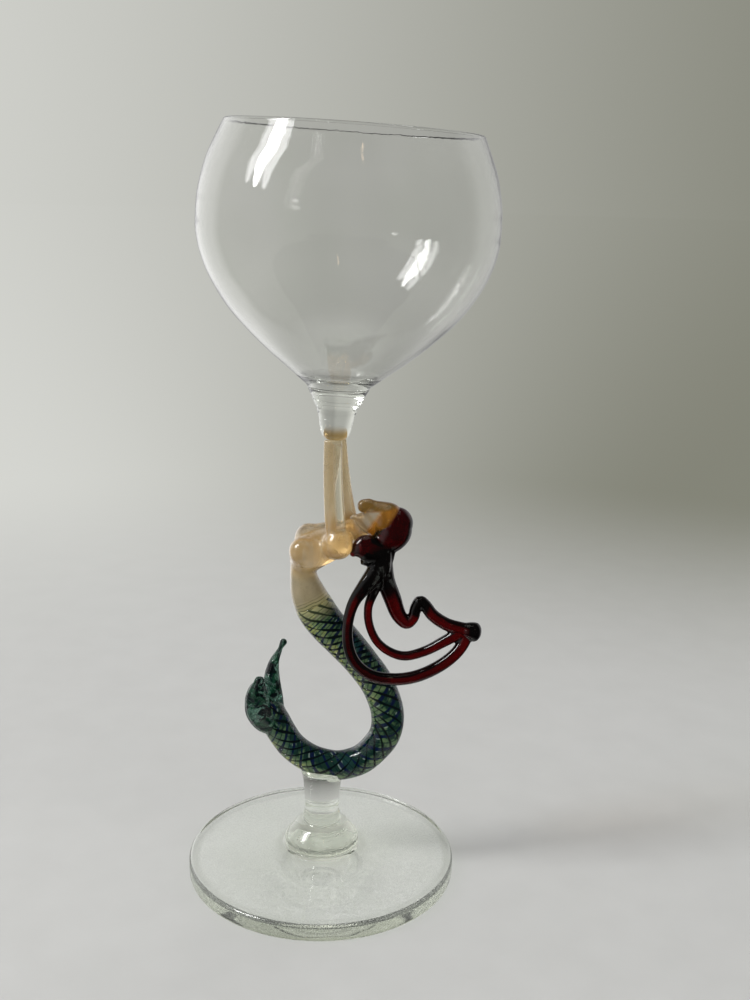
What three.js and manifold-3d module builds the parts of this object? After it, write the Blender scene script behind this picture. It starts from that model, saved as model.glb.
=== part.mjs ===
// Blown glass wine goblet whose stem is a mermaid holding up the bowl.
// Millimetres, Z up, X to the right of the figure's profile, origin at the middle of the foot's underside.
import * as THREE from 'three';
import { mergeVertices } from 'three/addons/utils/BufferGeometryUtils.js';
import Module from 'manifold-3d';

const wasm = await Module();
wasm.setup();

// Foot: a thick disc that rises gently to a flat seat under the button.
const FOOT_RADIUS = 41.2;
const FOOT_EDGE_HEIGHT = 5.2;
const FOOT_EDGE_ROUND = 1.4;
const FOOT_UNDER_ROUND = 0.8;
const FOOT_RISE = 2.8;

// Button and post: the clear glass between the foot and the tail.
const BUTTON_RADIUS = 11.5;
const BUTTON_HEIGHT = 8;
const POST_RADIUS = 5.2;
const POST_TOP_RADIUS = 6.6;
const POST_LENGTH = 14;
const POST_SADDLE_DEPTH = 3;

// Figure: its height runs from the top of the post to the fingertips.
const FIGURE_HEIGHT = 107;
const HIP_RADIUS = 5.7;
const CHEST_RADIUS = 4.5;
const BREAST_RADIUS = 4;
const SHOULDER_RADIUS = 3.7;
const ARM_RADIUS = 3;
const NECK_RADIUS = 2.7;
const HEAD_RADIUS = 4.9;

// Hair: a crown, a fall, one lock and three drawn strands that meet in a knot.
const CROWN_RADIUS = 5.2;
const LOCK_RADIUS = 3.1;
const FALL_RADIUS = 3.9;
const FRONT_STRAND_RADIUS = 1.6;
const MIDDLE_STRAND_RADIUS = 1.3;
const BACK_STRAND_RADIUS = 2.7;
const KNOT_RADIUS = 2.5;

// Tail fins: one rounded fluke in front and one upright fluke with a ball tip behind.
const ROUND_FLUKE_RADIUS = 3.8;
const UPRIGHT_FLUKE_RADIUS = 3;

// Cup, hands and collar: the clear glass that the arms end in, under the bowl.
const CUP_HEIGHT = 11.5;
const CUP_END_RADIUS = 2.9;
const CUP_TOP_RADIUS = 7.3;
const HANDS_HEIGHT = 5;
const HANDS_WALL = 0.8;
const COLLAR_HEIGHT = 3.2;

// Bowl: measured along its own axis, which leans a little towards the back of the head.
const BOWL_BASE_RADIUS = 8.9;
const BOWL_RADIUS = 41.9;
const BOWL_HEIGHT = 70;
const BOWL_WALL = 1.2;
const BOWL_FLOOR = 2.5;
const BOWL_LEAN = THREE.MathUtils.degToRad(2.8);

// Gap that glass pieces keep where one is let into another.
const SEAM = 0.3;

// Levels worked out from the sizes above.
const SEAT_LEVEL = FOOT_EDGE_HEIGHT + FOOT_RISE;
const POST_LEVEL = SEAT_LEVEL + BUTTON_HEIGHT;
const FIGURE_LEVEL = POST_LEVEL + POST_LENGTH;

// Counts of sides and steps.
const ROUND_SIDES = 40;
const STEM_SIDES = 24;
const BODY_SIDES = 12;
const LIMB_SIDES = 10;
const STRAND_SIDES = 8;
const BOWL_STEPS = 14;
const RIM_STEPS = 4;
const FOOT_STEPS = 5;
const CAP_STEPS = 3;
const ROD_STEPS = 3;
const WAIST_STEPS = 8;
const STRAND_STEPS = 4;

// Profiles: shares of the radius and of the height of the piece.
const BUTTON_PROFILE_SHARES = [
  [0.96, 0], [1, 0.14], [0.98, 0.32], [0.9, 0.52], [0.78, 0.72], [0.66, 0.88], [0.57, 1],
];
const BOWL_PROFILE_SHARES = [
  [0.339, 0.061], [0.489, 0.133], [0.637, 0.214], [0.773, 0.3], [0.885, 0.4], [0.952, 0.486], [0.99, 0.571],
  [1, 0.666], [0.983, 0.757], [0.945, 0.854], [0.895, 0.929], [0.841, 1],
];
// The post flares just under the tail, and the cup swells from its end radius to its top radius.
const POST_SWELL_SHARES = [[0, 0], [0.3, 0.12], [0.6, 0.36], [0.85, 0.7], [1, 1]];
const CUP_SWELL_SHARES = [[0, 0], [0.12, 0.26], [0.34, 0.4], [0.57, 0.52], [0.8, 0.72], [1, 1]];
const HANDS_PROFILE_SHARES = [[0.85, 0], [1, 0.16], [1, 0.5], [0.86, 0.78], [0.5, 0.95], [0, 1]];

// Places in the figure: shares of its height along X, Y and Z, counted from the top of the post.
const BODY_PATH_SHARES = [
  [-0.059, 0, 0.665], [-0.058, 0, 0.614], [-0.048, 0, 0.569], [-0.023, 0, 0.514], [0.008, 0, 0.47],
  [0.048, 0, 0.428], [0.106, 0, 0.361], [0.156, 0, 0.288], [0.184, 0, 0.203], [0.178, 0, 0.14],
  [0.151, 0, 0.096], [0.115, 0, 0.061], [0.083, 0, 0.046], [0.045, 0, 0.038], [0.007, 0, 0.043],
  [-0.039, 0, 0.06], [-0.091, 0, 0.1], [-0.136, 0, 0.175], [-0.147, 0, 0.206],
];
const BODY_GIRTH_SHARES = [
  0.7, 0.7, 0.88, 1, 0.98, 0.96, 0.89, 0.88, 0.88, 0.84, 0.8, 0.79, 0.79, 0.79, 0.78, 0.76, 0.76, 0.78, 0.7,
];
const WAIST_END_SHARE = 0.13;
const CHEST_PATH_SHARES = [
  [-0.05, 0, 0.67], [-0.024, 0, 0.686], [0.006, 0, 0.7], [0.036, 0, 0.714], [0.054, 0, 0.724],
];
const CHEST_GIRTH_SHARES = [0.9, 1, 1.02, 0.96, 0.7];
const BREAST_SHARES = [[-0.06, -0.04, 0.694], [-0.041, 0.042, 0.71]];
const SHOULDER_SHARES = [[0.043, -0.061, 0.715], [0.072, 0.061, 0.728]];
const LEFT_ARM_PATH_SHARES = [
  [0.036, -0.06, 0.735], [0.031, -0.057, 0.765], [0.024, -0.043, 0.841], [0.02, -0.028, 0.92],
  [0.019, -0.016, 1.02],
];
const RIGHT_ARM_PATH_SHARES = [
  [0.062, 0.06, 0.745], [0.055, 0.057, 0.775], [0.046, 0.043, 0.833], [0.037, 0.028, 0.907],
  [0.029, 0.016, 1.02],
];
const ARM_GIRTH_SHARES = [1, 0.98, 0.92, 0.87, 0.84];
const NECK_PATH_SHARES = [[0.05, -0.006, 0.735], [0.078, -0.016, 0.757], [0.112, -0.026, 0.775]];
const NECK_GIRTH_SHARES = [1, 1, 1.15];
const HEAD_PATH_SHARES = [
  [0.118, -0.026, 0.821], [0.141, -0.027, 0.806], [0.165, -0.028, 0.791], [0.186, -0.028, 0.776],
  [0.197, -0.028, 0.766],
];
const HEAD_GIRTH_SHARES = [0.48, 0.76, 1, 0.92, 0.72];
const CROWN_PATH_SHARES = [
  [0.132, -0.042, 0.71], [0.165, -0.035, 0.728], [0.187, -0.03, 0.752], [0.195, -0.028, 0.776],
];
const CROWN_GIRTH_SHARES = [0.52, 0.86, 1, 0.92];
const LOCK_PATH_SHARES = [
  [0.128, -0.058, 0.726], [0.114, -0.062, 0.71], [0.116, -0.065, 0.685], [0.129, -0.064, 0.66],
  [0.137, -0.062, 0.64],
];
const LOCK_GIRTH_SHARES = [0.7, 0.92, 1, 0.9, 0.75];
const FALL_PATH_SHARES = [
  [0.16, -0.038, 0.714], [0.154, -0.045, 0.678], [0.15, -0.052, 0.645], [0.152, -0.056, 0.617],
];
const FALL_GIRTH_SHARES = [1, 0.92, 0.86, 0.62];
const KNOT_PATH_SHARES = [[0.38, -0.053, 0.485], [0.4, -0.055, 0.481], [0.416, -0.056, 0.478]];
const KNOT_GIRTH_SHARES = [0.82, 0.9, 1];
const FRONT_STRAND_PATH_SHARES = [
  [0.141, -0.062, 0.648], [0.113, -0.071, 0.61], [0.084, -0.08, 0.566], [0.069, -0.086, 0.51],
  [0.07, -0.087, 0.447], [0.09, -0.086, 0.393], [0.132, -0.084, 0.356], [0.193, -0.082, 0.344],
  [0.256, -0.079, 0.352], [0.322, -0.074, 0.383], [0.368, -0.065, 0.42], [0.388, -0.058, 0.45],
  [0.395, -0.055, 0.472],
];
const FRONT_STRAND_GIRTH_SHARES = [1.2, 1.05, 0.95, 0.9, 0.94, 1, 1.04, 1.06, 1.06, 1.06, 1.06, 1.1, 1.1];
const MIDDLE_STRAND_PATH_SHARES = [
  [0.152, -0.056, 0.632], [0.138, -0.056, 0.593], [0.123, -0.056, 0.544], [0.127, -0.056, 0.492],
  [0.15, -0.056, 0.443], [0.186, -0.056, 0.414], [0.227, -0.056, 0.403], [0.282, -0.056, 0.419],
  [0.336, -0.056, 0.45], [0.374, -0.055, 0.472], [0.4, -0.055, 0.48],
];
const MIDDLE_STRAND_GIRTH_SHARES = [1.1, 0.95, 0.9, 0.88, 0.9, 0.94, 1, 1.06, 1.2, 1.3, 1.3];
const BACK_STRAND_PATH_SHARES = [
  [0.161, -0.043, 0.674], [0.169, -0.039, 0.617], [0.188, -0.037, 0.565], [0.208, -0.037, 0.515],
  [0.23, -0.037, 0.493], [0.247, -0.037, 0.509], [0.254, -0.037, 0.539], [0.265, -0.037, 0.556],
  [0.279, -0.038, 0.546], [0.3, -0.042, 0.52], [0.338, -0.047, 0.496], [0.375, -0.052, 0.486],
  [0.402, -0.055, 0.481],
];
const BACK_STRAND_GIRTH_SHARES = [1, 1, 0.98, 0.84, 0.68, 0.64, 0.66, 0.68, 0.68, 0.7, 0.72, 0.76, 0.8];
const UPRIGHT_FLUKE_PATH_SHARES = [
  [-0.141, 0.006, 0.196], [-0.144, 0.011, 0.238], [-0.147, 0.019, 0.259], [-0.148, 0.028, 0.301],
  [-0.142, 0.037, 0.34], [-0.129, 0.043, 0.369], [-0.124, 0.045, 0.381], [-0.117, 0.047, 0.395],
];
const UPRIGHT_FLUKE_GIRTH_SHARES = [1.1, 1.05, 1, 0.78, 0.5, 0.28, 0.24, 0.36];
const ROUND_FLUKE_PATH_SHARES = [
  [-0.14, -0.012, 0.165], [-0.162, -0.022, 0.182], [-0.179, -0.032, 0.212], [-0.184, -0.038, 0.248],
  [-0.182, -0.044, 0.282], [-0.176, -0.048, 0.314],
];
const ROUND_FLUKE_GIRTH_SHARES = [0.85, 0.95, 1, 0.94, 0.76, 0.42];

// How thick a piece is along Y, as a share of its thickness in the figure's profile.
const ROUND_DEPTH_SHARE = 1;
const CHEST_DEPTH_SHARE = 1.3;
const ARM_DEPTH_SHARE = 0.72;
const HEAD_DEPTH_SHARE = 0.92;
const CROWN_DEPTH_SHARE = 0.98;
const FLUKE_DEPTH_SHARE = 0.72;

// How far a rounded end stands out, as a share of the radius there.
const ROUND_END_SHARE = 1;
const FLAT_END_SHARE = 0;
const END_ROW_SHARE = 0.999;

// One glass material, with its colour and how clear it is.
function glass(name, color, opacity) {
  return new THREE.MeshStandardMaterial({ name, color, roughness: 0.05, metalness: 0, transparent: true, opacity });
}

const clearGlass = glass('clear_glass', 0xe6ebe6, 0.35);
const fleshGlass = glass('flesh_glass', 0xc8ac7d, 0.85);
const torsoGlass = glass('torso_glass', 0xb3a388, 0.8);
const amberGlass = glass('amber_glass', 0xa06e28, 0.85);
const rubyGlass = glass('ruby_glass', 0x5a000c, 0.95);
const scaleGlass = glass('scale_glass', 0x828c4b, 0.95);
const finGlass = glass('fin_glass', 0x1f4a44, 0.9);

// A closed mesh with shared corners, without the triangles that shrink to a line at a pole.
function weld(geometry) {
  geometry.deleteAttribute('normal');
  geometry.deleteAttribute('uv');
  const merged = mergeVertices(geometry);
  const corners = merged.index.array;
  const kept = [];
  for (let i = 0; i < corners.length; i += 3) {
    const [a, b, c] = corners.subarray(i, i + 3);
    if (a !== b && b !== c && c !== a) {
      kept.push(a, b, c);
    }
  }
  merged.setIndex(kept);
  return merged;
}

function toSolid(geometry) {
  return new wasm.Manifold(new wasm.Mesh({
    numProp: 3,
    vertProperties: new Float32Array(geometry.attributes.position.array),
    triVerts: new Uint32Array(geometry.index.array),
  }));
}

function toGeometry(solid) {
  const mesh = solid.getMesh();
  const geometry = new THREE.BufferGeometry();
  geometry.setAttribute('position', new THREE.BufferAttribute(mesh.vertProperties, 3));
  geometry.setIndex(new THREE.BufferAttribute(mesh.triVerts, 1));
  geometry.computeVertexNormals();
  return geometry;
}

// A turned piece about Z from a profile of radius and height that starts and ends on the axis.
function turned(profile, sides) {
  const points = profile.map(([radius, height]) => new THREE.Vector2(radius, height));
  const geometry = new THREE.LatheGeometry(points, sides);
  geometry.rotateX(Math.PI / 2);
  return weld(geometry);
}

function figurePoint([x, y, z]) {
  return new THREE.Vector3(x * FIGURE_HEIGHT, y * FIGURE_HEIGHT, FIGURE_LEVEL + z * FIGURE_HEIGHT);
}

// A round rod bent along a smooth curve. Its radius runs smoothly through the girth table,
// its section is squeezed or widened along Y, and the whole is grown outwards by the given amount.
function bentRod({ path, girth, radius, sides, steps, depth, ends, grow, from = 0, to = 1 }) {
  const curve = new THREE.CatmullRomCurve3(path.map(figurePoint));
  const radii = new THREE.SplineCurve(girth.map((share, i) => new THREE.Vector2(i, share * radius)));
  const geometry = new THREE.CapsuleGeometry(1, steps, CAP_STEPS, sides, steps);
  const half = steps / 2;
  const corner = new THREE.Vector3();
  const side = new THREE.Vector3();
  const across = new THREE.Vector3();
  const place = geometry.attributes.position;
  for (let i = 0; i < place.count; i += 1) {
    corner.fromBufferAttribute(place, i);
    const height = THREE.MathUtils.clamp(corner.y, -half, half);
    const past = corner.y - height;
    const end = corner.y < 0 ? 0 : 1;
    const atEnd = Math.abs(corner.y) > half * END_ROW_SHARE;
    const shift = atEnd ? Math.sign(corner.y) * grow : 0;
    const along = curve.getUtoTmapping(from + (to - from) * (height / steps + 1 / 2));
    const tangent = curve.getTangent(along);
    const local = radii.getPoint(along).y;
    side.set(0, 1, 0).addScaledVector(tangent, -tangent.y).normalize();
    across.crossVectors(side, tangent);
    const spot = curve.getPoint(along);
    spot.addScaledVector(tangent, past * local * ends[end] + shift);
    spot.addScaledVector(side, corner.x * (local * depth + grow));
    spot.addScaledVector(across, corner.z * (local + grow));
    place.setXYZ(i, spot.x, spot.y, spot.z);
  }
  return weld(geometry);
}

function ball(centre, radius, grow) {
  const geometry = new THREE.SphereGeometry(radius + grow, LIMB_SIDES, LIMB_SIDES / 2 + 2);
  geometry.rotateX(Math.PI / 2);
  geometry.translate(...figurePoint(centre).toArray());
  return weld(geometry);
}

// Each figure piece is a shape that can be made a little larger all round, for the seam cut into its neighbours.
function rod(path, girth, radius, options = {}) {
  const shape = {
    path,
    girth,
    radius,
    sides: LIMB_SIDES,
    steps: (path.length - 1) * ROD_STEPS,
    depth: ROUND_DEPTH_SHARE,
    ends: [ROUND_END_SHARE, ROUND_END_SHARE],
    ...options,
  };
  return (grow) => bentRod({ ...shape, grow });
}

function lobe(centre, radius) {
  return (grow) => ball(centre, radius, grow);
}

function strand(path, girth, radius) {
  return rod(path, girth, radius, { sides: STRAND_SIDES, steps: (path.length - 1) * STRAND_STEPS });
}

function tail() {
  return rod(BODY_PATH_SHARES, BODY_GIRTH_SHARES, HIP_RADIUS, {
    sides: BODY_SIDES,
    ends: [FLAT_END_SHARE, ROUND_END_SHARE],
    from: WAIST_END_SHARE,
  });
}

// The waist runs a little way down inside the tail, which cuts it square with a seam.
function waist() {
  return rod(BODY_PATH_SHARES, BODY_GIRTH_SHARES, HIP_RADIUS, {
    sides: BODY_SIDES,
    steps: WAIST_STEPS,
    ends: [ROUND_END_SHARE, FLAT_END_SHARE],
    to: WAIST_END_SHARE,
  });
}

function chest() {
  return rod(CHEST_PATH_SHARES, CHEST_GIRTH_SHARES, CHEST_RADIUS, {
    sides: BODY_SIDES,
    depth: CHEST_DEPTH_SHARE,
  });
}

function arm(path) {
  return rod(path, ARM_GIRTH_SHARES, ARM_RADIUS, { depth: ARM_DEPTH_SHARE });
}

function neck() {
  return rod(NECK_PATH_SHARES, NECK_GIRTH_SHARES, NECK_RADIUS);
}

function head() {
  return rod(HEAD_PATH_SHARES, HEAD_GIRTH_SHARES, HEAD_RADIUS, { depth: HEAD_DEPTH_SHARE });
}

function hairCrown() {
  return rod(CROWN_PATH_SHARES, CROWN_GIRTH_SHARES, CROWN_RADIUS, { depth: CROWN_DEPTH_SHARE });
}

function uprightFluke() {
  return rod(UPRIGHT_FLUKE_PATH_SHARES, UPRIGHT_FLUKE_GIRTH_SHARES, UPRIGHT_FLUKE_RADIUS, {
    depth: FLUKE_DEPTH_SHARE,
  });
}

function roundFluke() {
  return rod(ROUND_FLUKE_PATH_SHARES, ROUND_FLUKE_GIRTH_SHARES, ROUND_FLUKE_RADIUS, {
    depth: FLUKE_DEPTH_SHARE,
  });
}

function foot() {
  const profile = [[0, 0], [FOOT_RADIUS - FOOT_UNDER_ROUND, 0], [FOOT_RADIUS, FOOT_UNDER_ROUND]];
  for (let i = 0; i <= CAP_STEPS; i += 1) {
    const turn = (i / CAP_STEPS) * (Math.PI / 2);
    profile.push([
      FOOT_RADIUS - FOOT_EDGE_ROUND * (1 - Math.cos(turn)),
      FOOT_EDGE_HEIGHT - FOOT_EDGE_ROUND * (1 - Math.sin(turn)),
    ]);
  }
  const edge = FOOT_RADIUS - FOOT_EDGE_ROUND;
  for (let i = 1; i <= FOOT_STEPS; i += 1) {
    const inwards = i / FOOT_STEPS;
    profile.push([
      THREE.MathUtils.lerp(edge, BUTTON_RADIUS, inwards),
      FOOT_EDGE_HEIGHT + FOOT_RISE * inwards ** 2,
    ]);
  }
  profile.push([0, SEAT_LEVEL]);
  return turned(profile, ROUND_SIDES);
}

function button() {
  const shape = BUTTON_PROFILE_SHARES.map(([r, h]) => [r * BUTTON_RADIUS, SEAT_LEVEL + h * BUTTON_HEIGHT]);
  return turned([[0, SEAT_LEVEL], ...shape, [0, POST_LEVEL]], STEM_SIDES);
}

// The post reaches past the lowest line of the tail, which is cut out of its top as a saddle.
function post() {
  const length = POST_LENGTH + POST_SADDLE_DEPTH;
  const shape = POST_SWELL_SHARES.map(([height, swell]) => [
    THREE.MathUtils.lerp(POST_RADIUS, POST_TOP_RADIUS, swell),
    POST_LEVEL + height * length,
  ]);
  return turned([[0, POST_LEVEL], ...shape, [0, POST_LEVEL + length]], STEM_SIDES);
}

// The pieces above the fingertips are turned about the leaning axis, with zero height at the cup's end.
function cup(grow) {
  const outer = CUP_SWELL_SHARES.map(([height, swell]) => [
    THREE.MathUtils.lerp(CUP_END_RADIUS, CUP_TOP_RADIUS, swell) + grow,
    height * CUP_HEIGHT,
  ]);
  return turned([[0, -grow], [CUP_END_RADIUS + grow, -grow], ...outer.slice(1), [0, CUP_HEIGHT]], STEM_SIDES);
}

function hands(grow) {
  const radius = CUP_END_RADIUS - HANDS_WALL - SEAM;
  const shape = HANDS_PROFILE_SHARES.map(([r, h]) => [r * radius + grow, h * HANDS_HEIGHT]);
  return turned([[0, -grow], [shape[0][0], -grow], ...shape.slice(0, -1), [0, HANDS_HEIGHT + grow]], STEM_SIDES);
}

function collar() {
  const base = CUP_HEIGHT + SEAM;
  return turned([
    [0, base],
    [CUP_TOP_RADIUS, base],
    [BOWL_BASE_RADIUS, base + COLLAR_HEIGHT],
    [0, base + COLLAR_HEIGHT],
  ], STEM_SIDES);
}

// The bowl's outer wall, offset inwards by the wall's thickness down to the floor, with a rounded rim.
function bowl() {
  const base = CUP_HEIGHT + COLLAR_HEIGHT + SEAM * 2;
  const shape = BOWL_PROFILE_SHARES.map(([r, h]) => new THREE.Vector2(r * BOWL_RADIUS, h * BOWL_HEIGHT));
  const wall = new THREE.SplineCurve([new THREE.Vector2(BOWL_BASE_RADIUS, 0), ...shape]);
  const outer = wall.getPoints(BOWL_STEPS);
  const inner = outer.map((point, i) => {
    const tangent = wall.getTangent(i / BOWL_STEPS);
    return new THREE.Vector2(point.x - tangent.y * BOWL_WALL, point.y + tangent.x * BOWL_WALL);
  });
  const rimOuter = outer.at(-1);
  const rimInner = inner.at(-1);
  const middle = rimOuter.clone().add(rimInner).divideScalar(2);
  const rim = [];
  for (let i = 1; i < RIM_STEPS; i += 1) {
    rim.push(rimOuter.clone().rotateAround(middle, (i / RIM_STEPS) * Math.PI));
  }
  const inside = inner.filter((point) => point.y > BOWL_FLOOR).reverse();
  const profile = [...outer, ...rim, ...inside].map(({ x, y }) => [x, y + base]);
  return turned([[0, base], ...profile, [0, base + BOWL_FLOOR]], ROUND_SIDES);
}

const goblet = new THREE.Group();

function addMesh(parent, name, geometry, material) {
  const mesh = new THREE.Mesh(geometry, material);
  mesh.name = name;
  parent.add(mesh);
  return mesh;
}

// The leaning group: its origin is where the fingertips meet the cup, at the end of the arms.
const top = new THREE.Group();
const cupShare = [(LEFT_ARM_PATH_SHARES.at(-1)[0] + RIGHT_ARM_PATH_SHARES.at(-1)[0]) / 2, 0, 1];
top.position.copy(figurePoint(cupShare));
top.rotation.y = BOWL_LEAN;
top.updateMatrix();
goblet.add(top);

const plug = toSolid(hands(0));
const socket = toSolid(hands(SEAM));
addMesh(top, 'hands', toGeometry(plug), amberGlass);
addMesh(top, 'stem_cup', toGeometry(toSolid(cup(0)).subtract(socket)), clearGlass);
addMesh(top, 'bowl_collar', toGeometry(toSolid(collar())), clearGlass);
addMesh(top, 'bowl', toGeometry(toSolid(bowl())), clearGlass);

// Figure pieces in the order in which they cut each other: each is let into all those before it.
const figure = [
  ['tail', tail(), scaleGlass],
  ['waist', waist(), torsoGlass],
  ['chest', chest(), fleshGlass],
  ['left_shoulder', lobe(SHOULDER_SHARES[0], SHOULDER_RADIUS), fleshGlass],
  ['right_shoulder', lobe(SHOULDER_SHARES[1], SHOULDER_RADIUS), fleshGlass],
  ['left_breast', lobe(BREAST_SHARES[0], BREAST_RADIUS), fleshGlass],
  ['right_breast', lobe(BREAST_SHARES[1], BREAST_RADIUS), fleshGlass],
  ['left_arm', arm(LEFT_ARM_PATH_SHARES), fleshGlass],
  ['right_arm', arm(RIGHT_ARM_PATH_SHARES), fleshGlass],
  ['head', head(), amberGlass],
  ['neck', neck(), fleshGlass],
  ['hair_crown', hairCrown(), rubyGlass],
  ['hair_fall', strand(FALL_PATH_SHARES, FALL_GIRTH_SHARES, FALL_RADIUS), rubyGlass],
  ['hair_lock', strand(LOCK_PATH_SHARES, LOCK_GIRTH_SHARES, LOCK_RADIUS), rubyGlass],
  ['hair_knot', strand(KNOT_PATH_SHARES, KNOT_GIRTH_SHARES, KNOT_RADIUS), rubyGlass],
  ['hair_strand_back', strand(BACK_STRAND_PATH_SHARES, BACK_STRAND_GIRTH_SHARES, BACK_STRAND_RADIUS), rubyGlass],
  ['hair_strand_front', strand(FRONT_STRAND_PATH_SHARES, FRONT_STRAND_GIRTH_SHARES, FRONT_STRAND_RADIUS), rubyGlass],
  [
    'hair_strand_middle',
    strand(MIDDLE_STRAND_PATH_SHARES, MIDDLE_STRAND_GIRTH_SHARES, MIDDLE_STRAND_RADIUS),
    rubyGlass,
  ],
  ['tail_fin_upright', uprightFluke(), finGlass],
  ['tail_fin_round', roundFluke(), finGlass],
];

const cutters = [
  toSolid(cup(SEAM).applyMatrix4(top.matrix)),
  toSolid(hands(SEAM).applyMatrix4(top.matrix)),
];
for (const [name, shape, material] of figure) {
  let solid = toSolid(shape(0));
  for (const cutter of cutters) {
    solid = solid.subtract(cutter);
  }
  cutters.push(toSolid(shape(SEAM)));
  addMesh(goblet, name, toGeometry(solid), material);
}

addMesh(goblet, 'post', toGeometry(toSolid(post()).subtract(toSolid(tail()(SEAM)))), clearGlass);
addMesh(goblet, 'button', toGeometry(toSolid(button())), clearGlass);
addMesh(goblet, 'foot', toGeometry(toSolid(foot())), clearGlass);

export default goblet;
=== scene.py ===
"""Blown glass wine goblet whose stem is a mermaid holding up the bowl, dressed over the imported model."""

import math

import bmesh
import bpy
import numpy as np
from bpy.props import FloatProperty, FloatVectorProperty, IntProperty, PointerProperty
from bpy.types import Operator, Panel, PropertyGroup
from mathutils import Matrix, Vector


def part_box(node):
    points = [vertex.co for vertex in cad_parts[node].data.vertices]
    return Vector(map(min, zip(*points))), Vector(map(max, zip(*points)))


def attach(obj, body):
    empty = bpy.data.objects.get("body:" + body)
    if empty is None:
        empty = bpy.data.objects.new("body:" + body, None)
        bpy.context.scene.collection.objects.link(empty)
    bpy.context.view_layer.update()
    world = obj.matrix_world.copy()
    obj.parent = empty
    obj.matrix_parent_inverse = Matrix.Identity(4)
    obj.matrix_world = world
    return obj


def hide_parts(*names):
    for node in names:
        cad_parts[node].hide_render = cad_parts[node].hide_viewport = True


bl_info = {
    "name": "Mermaid Goblet",
    "version": (1, 0, 0),
    "blender": (4, 5, 0),
    "location": "View3D > Sidebar > Goblet",
    "description": "Dresses a blown glass goblet with a lampworked mermaid as its stem",
    "category": "Add Mesh",
}

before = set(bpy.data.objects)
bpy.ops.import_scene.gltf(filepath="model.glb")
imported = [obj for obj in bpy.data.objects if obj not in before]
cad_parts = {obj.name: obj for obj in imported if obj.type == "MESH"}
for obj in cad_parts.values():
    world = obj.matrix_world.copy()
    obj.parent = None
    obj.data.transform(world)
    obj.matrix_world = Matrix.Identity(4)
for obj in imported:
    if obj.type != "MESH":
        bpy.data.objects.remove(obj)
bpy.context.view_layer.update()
MM = 0.001

# Heights in millimetres: the seat under the button, the post's foot, the figure's lowest line and the fingertips.
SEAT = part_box("foot")[1].z / MM
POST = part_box("post")[0].z / MM
FIGURE_LOW, FIGURE_HEIGHT = 30.0, 107.0
TOP = Matrix.Translation((0.024 * FIGURE_HEIGHT, 0, FIGURE_LOW + FIGURE_HEIGHT)) @ Matrix.Rotation(
    math.radians(2.8), 4, "Y"
)

# Paths in thousandths of the figure's height along X, Y and Z, counted from the top of the post, and girths as
# shares of a radius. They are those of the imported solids, but the neck, the lock and the front strand reach
# further into their neighbours.
BODY = [
    (-59, 0, 665), (-58, 0, 614), (-48, 0, 569), (-23, 0, 514), (8, 0, 470), (48, 0, 428), (106, 0, 361),
    (156, 0, 288), (184, 0, 203), (178, 0, 140), (151, 0, 96), (115, 0, 61), (83, 0, 46), (45, 0, 38),
    (7, 0, 43), (-39, 0, 60), (-91, 0, 100), (-136, 0, 175), (-147, 0, 206),
]
BODY_GIRTH = [
    0.7, 0.7, 0.88, 1, 0.98, 0.96, 0.89, 0.88, 0.88, 0.84, 0.8, 0.79, 0.79, 0.79, 0.78, 0.76, 0.76, 0.78, 0.7,
]
BODY_RADIUS = 5.7
WAIST_END = 0.13
CHEST = [(-50, 0, 670), (-24, 0, 686), (6, 0, 700), (36, 0, 714), (54, 0, 724)]
BREASTS = [(-58, -40, 695), (-48, 42, 710)]
SHOULDERS = [(38, -58, 721), (72, 61, 728)]
COLLAR_BONE = [(-44, 36, 712), (-10, 42, 722), (30, 50, 728), (66, 56, 730)]
LEFT_ARM = [(36, -60, 735), (31, -57, 765), (24, -43, 841), (20, -28, 920), (19, -16, 1000)]
RIGHT_ARM = [(62, 60, 745), (55, 57, 775), (46, 43, 833), (37, 28, 907), (29, 16, 1000)]
ARM_GIRTH = [1, 0.98, 0.92, 0.87, 0.84]
NECK = [(50, -6, 731), (72, -14, 747), (94, -19, 756)]
THROAT = [(78, -8, 782), (102, -12, 777), (140, -18, 772)]
HEAD = [(118, -26, 821), (141, -27, 806), (165, -28, 791), (186, -28, 776), (197, -28, 766)]
HEAD_GIRTH = [0.48, 0.76, 1, 0.92, 0.72]
CROWN = [(132, -42, 710), (165, -35, 728), (187, -30, 752), (195, -28, 776)]
CROWN_GIRTH = [0.52, 0.86, 1, 0.92]
LOCK = [(146, -56, 692), (128, -60, 702), (109, -64, 711), (91, -68, 707), (79, -70, 700)]
LOCK_GIRTH = [1.5, 1.8, 1.75, 1.15, 0.4]
LOCK_ROOT = [(104, -63, 700), (127, -60, 684), (139, -57, 666), (148, -55, 642)]
FALL = [(160, -38, 714), (154, -45, 678), (150, -52, 645), (152, -56, 617)]
FALL_GIRTH = [1, 0.92, 0.8, 0.42]
KNOT = [(380, -53, 485), (400, -55, 481), (416, -56, 478)]
KNOT_GIRTH = [0.66, 0.9, 1]
FRONT_STRAND = [
    (150, -57, 688), (141, -62, 648), (113, -71, 610), (84, -80, 566), (69, -86, 510), (70, -87, 447),
    (90, -86, 393), (132, -84, 356), (193, -82, 344), (256, -79, 352), (322, -74, 383), (368, -65, 420),
    (388, -58, 450), (395, -55, 472),
]
FRONT_GIRTH = [1.3, 1.7, 1.35, 1.02, 0.9, 0.94, 1, 1.04, 1.06, 1.06, 1.06, 1.06, 1.1, 1.1]
MIDDLE_STRAND = [
    (152, -56, 632), (138, -56, 593), (123, -56, 544), (127, -56, 492), (150, -56, 443), (186, -56, 414),
    (227, -56, 403), (282, -56, 419), (336, -56, 450), (374, -55, 472), (400, -55, 480),
]
MIDDLE_GIRTH = [1.6, 1.15, 0.92, 0.88, 0.9, 0.94, 1, 1.06, 1.2, 1.3, 1.3]
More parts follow.
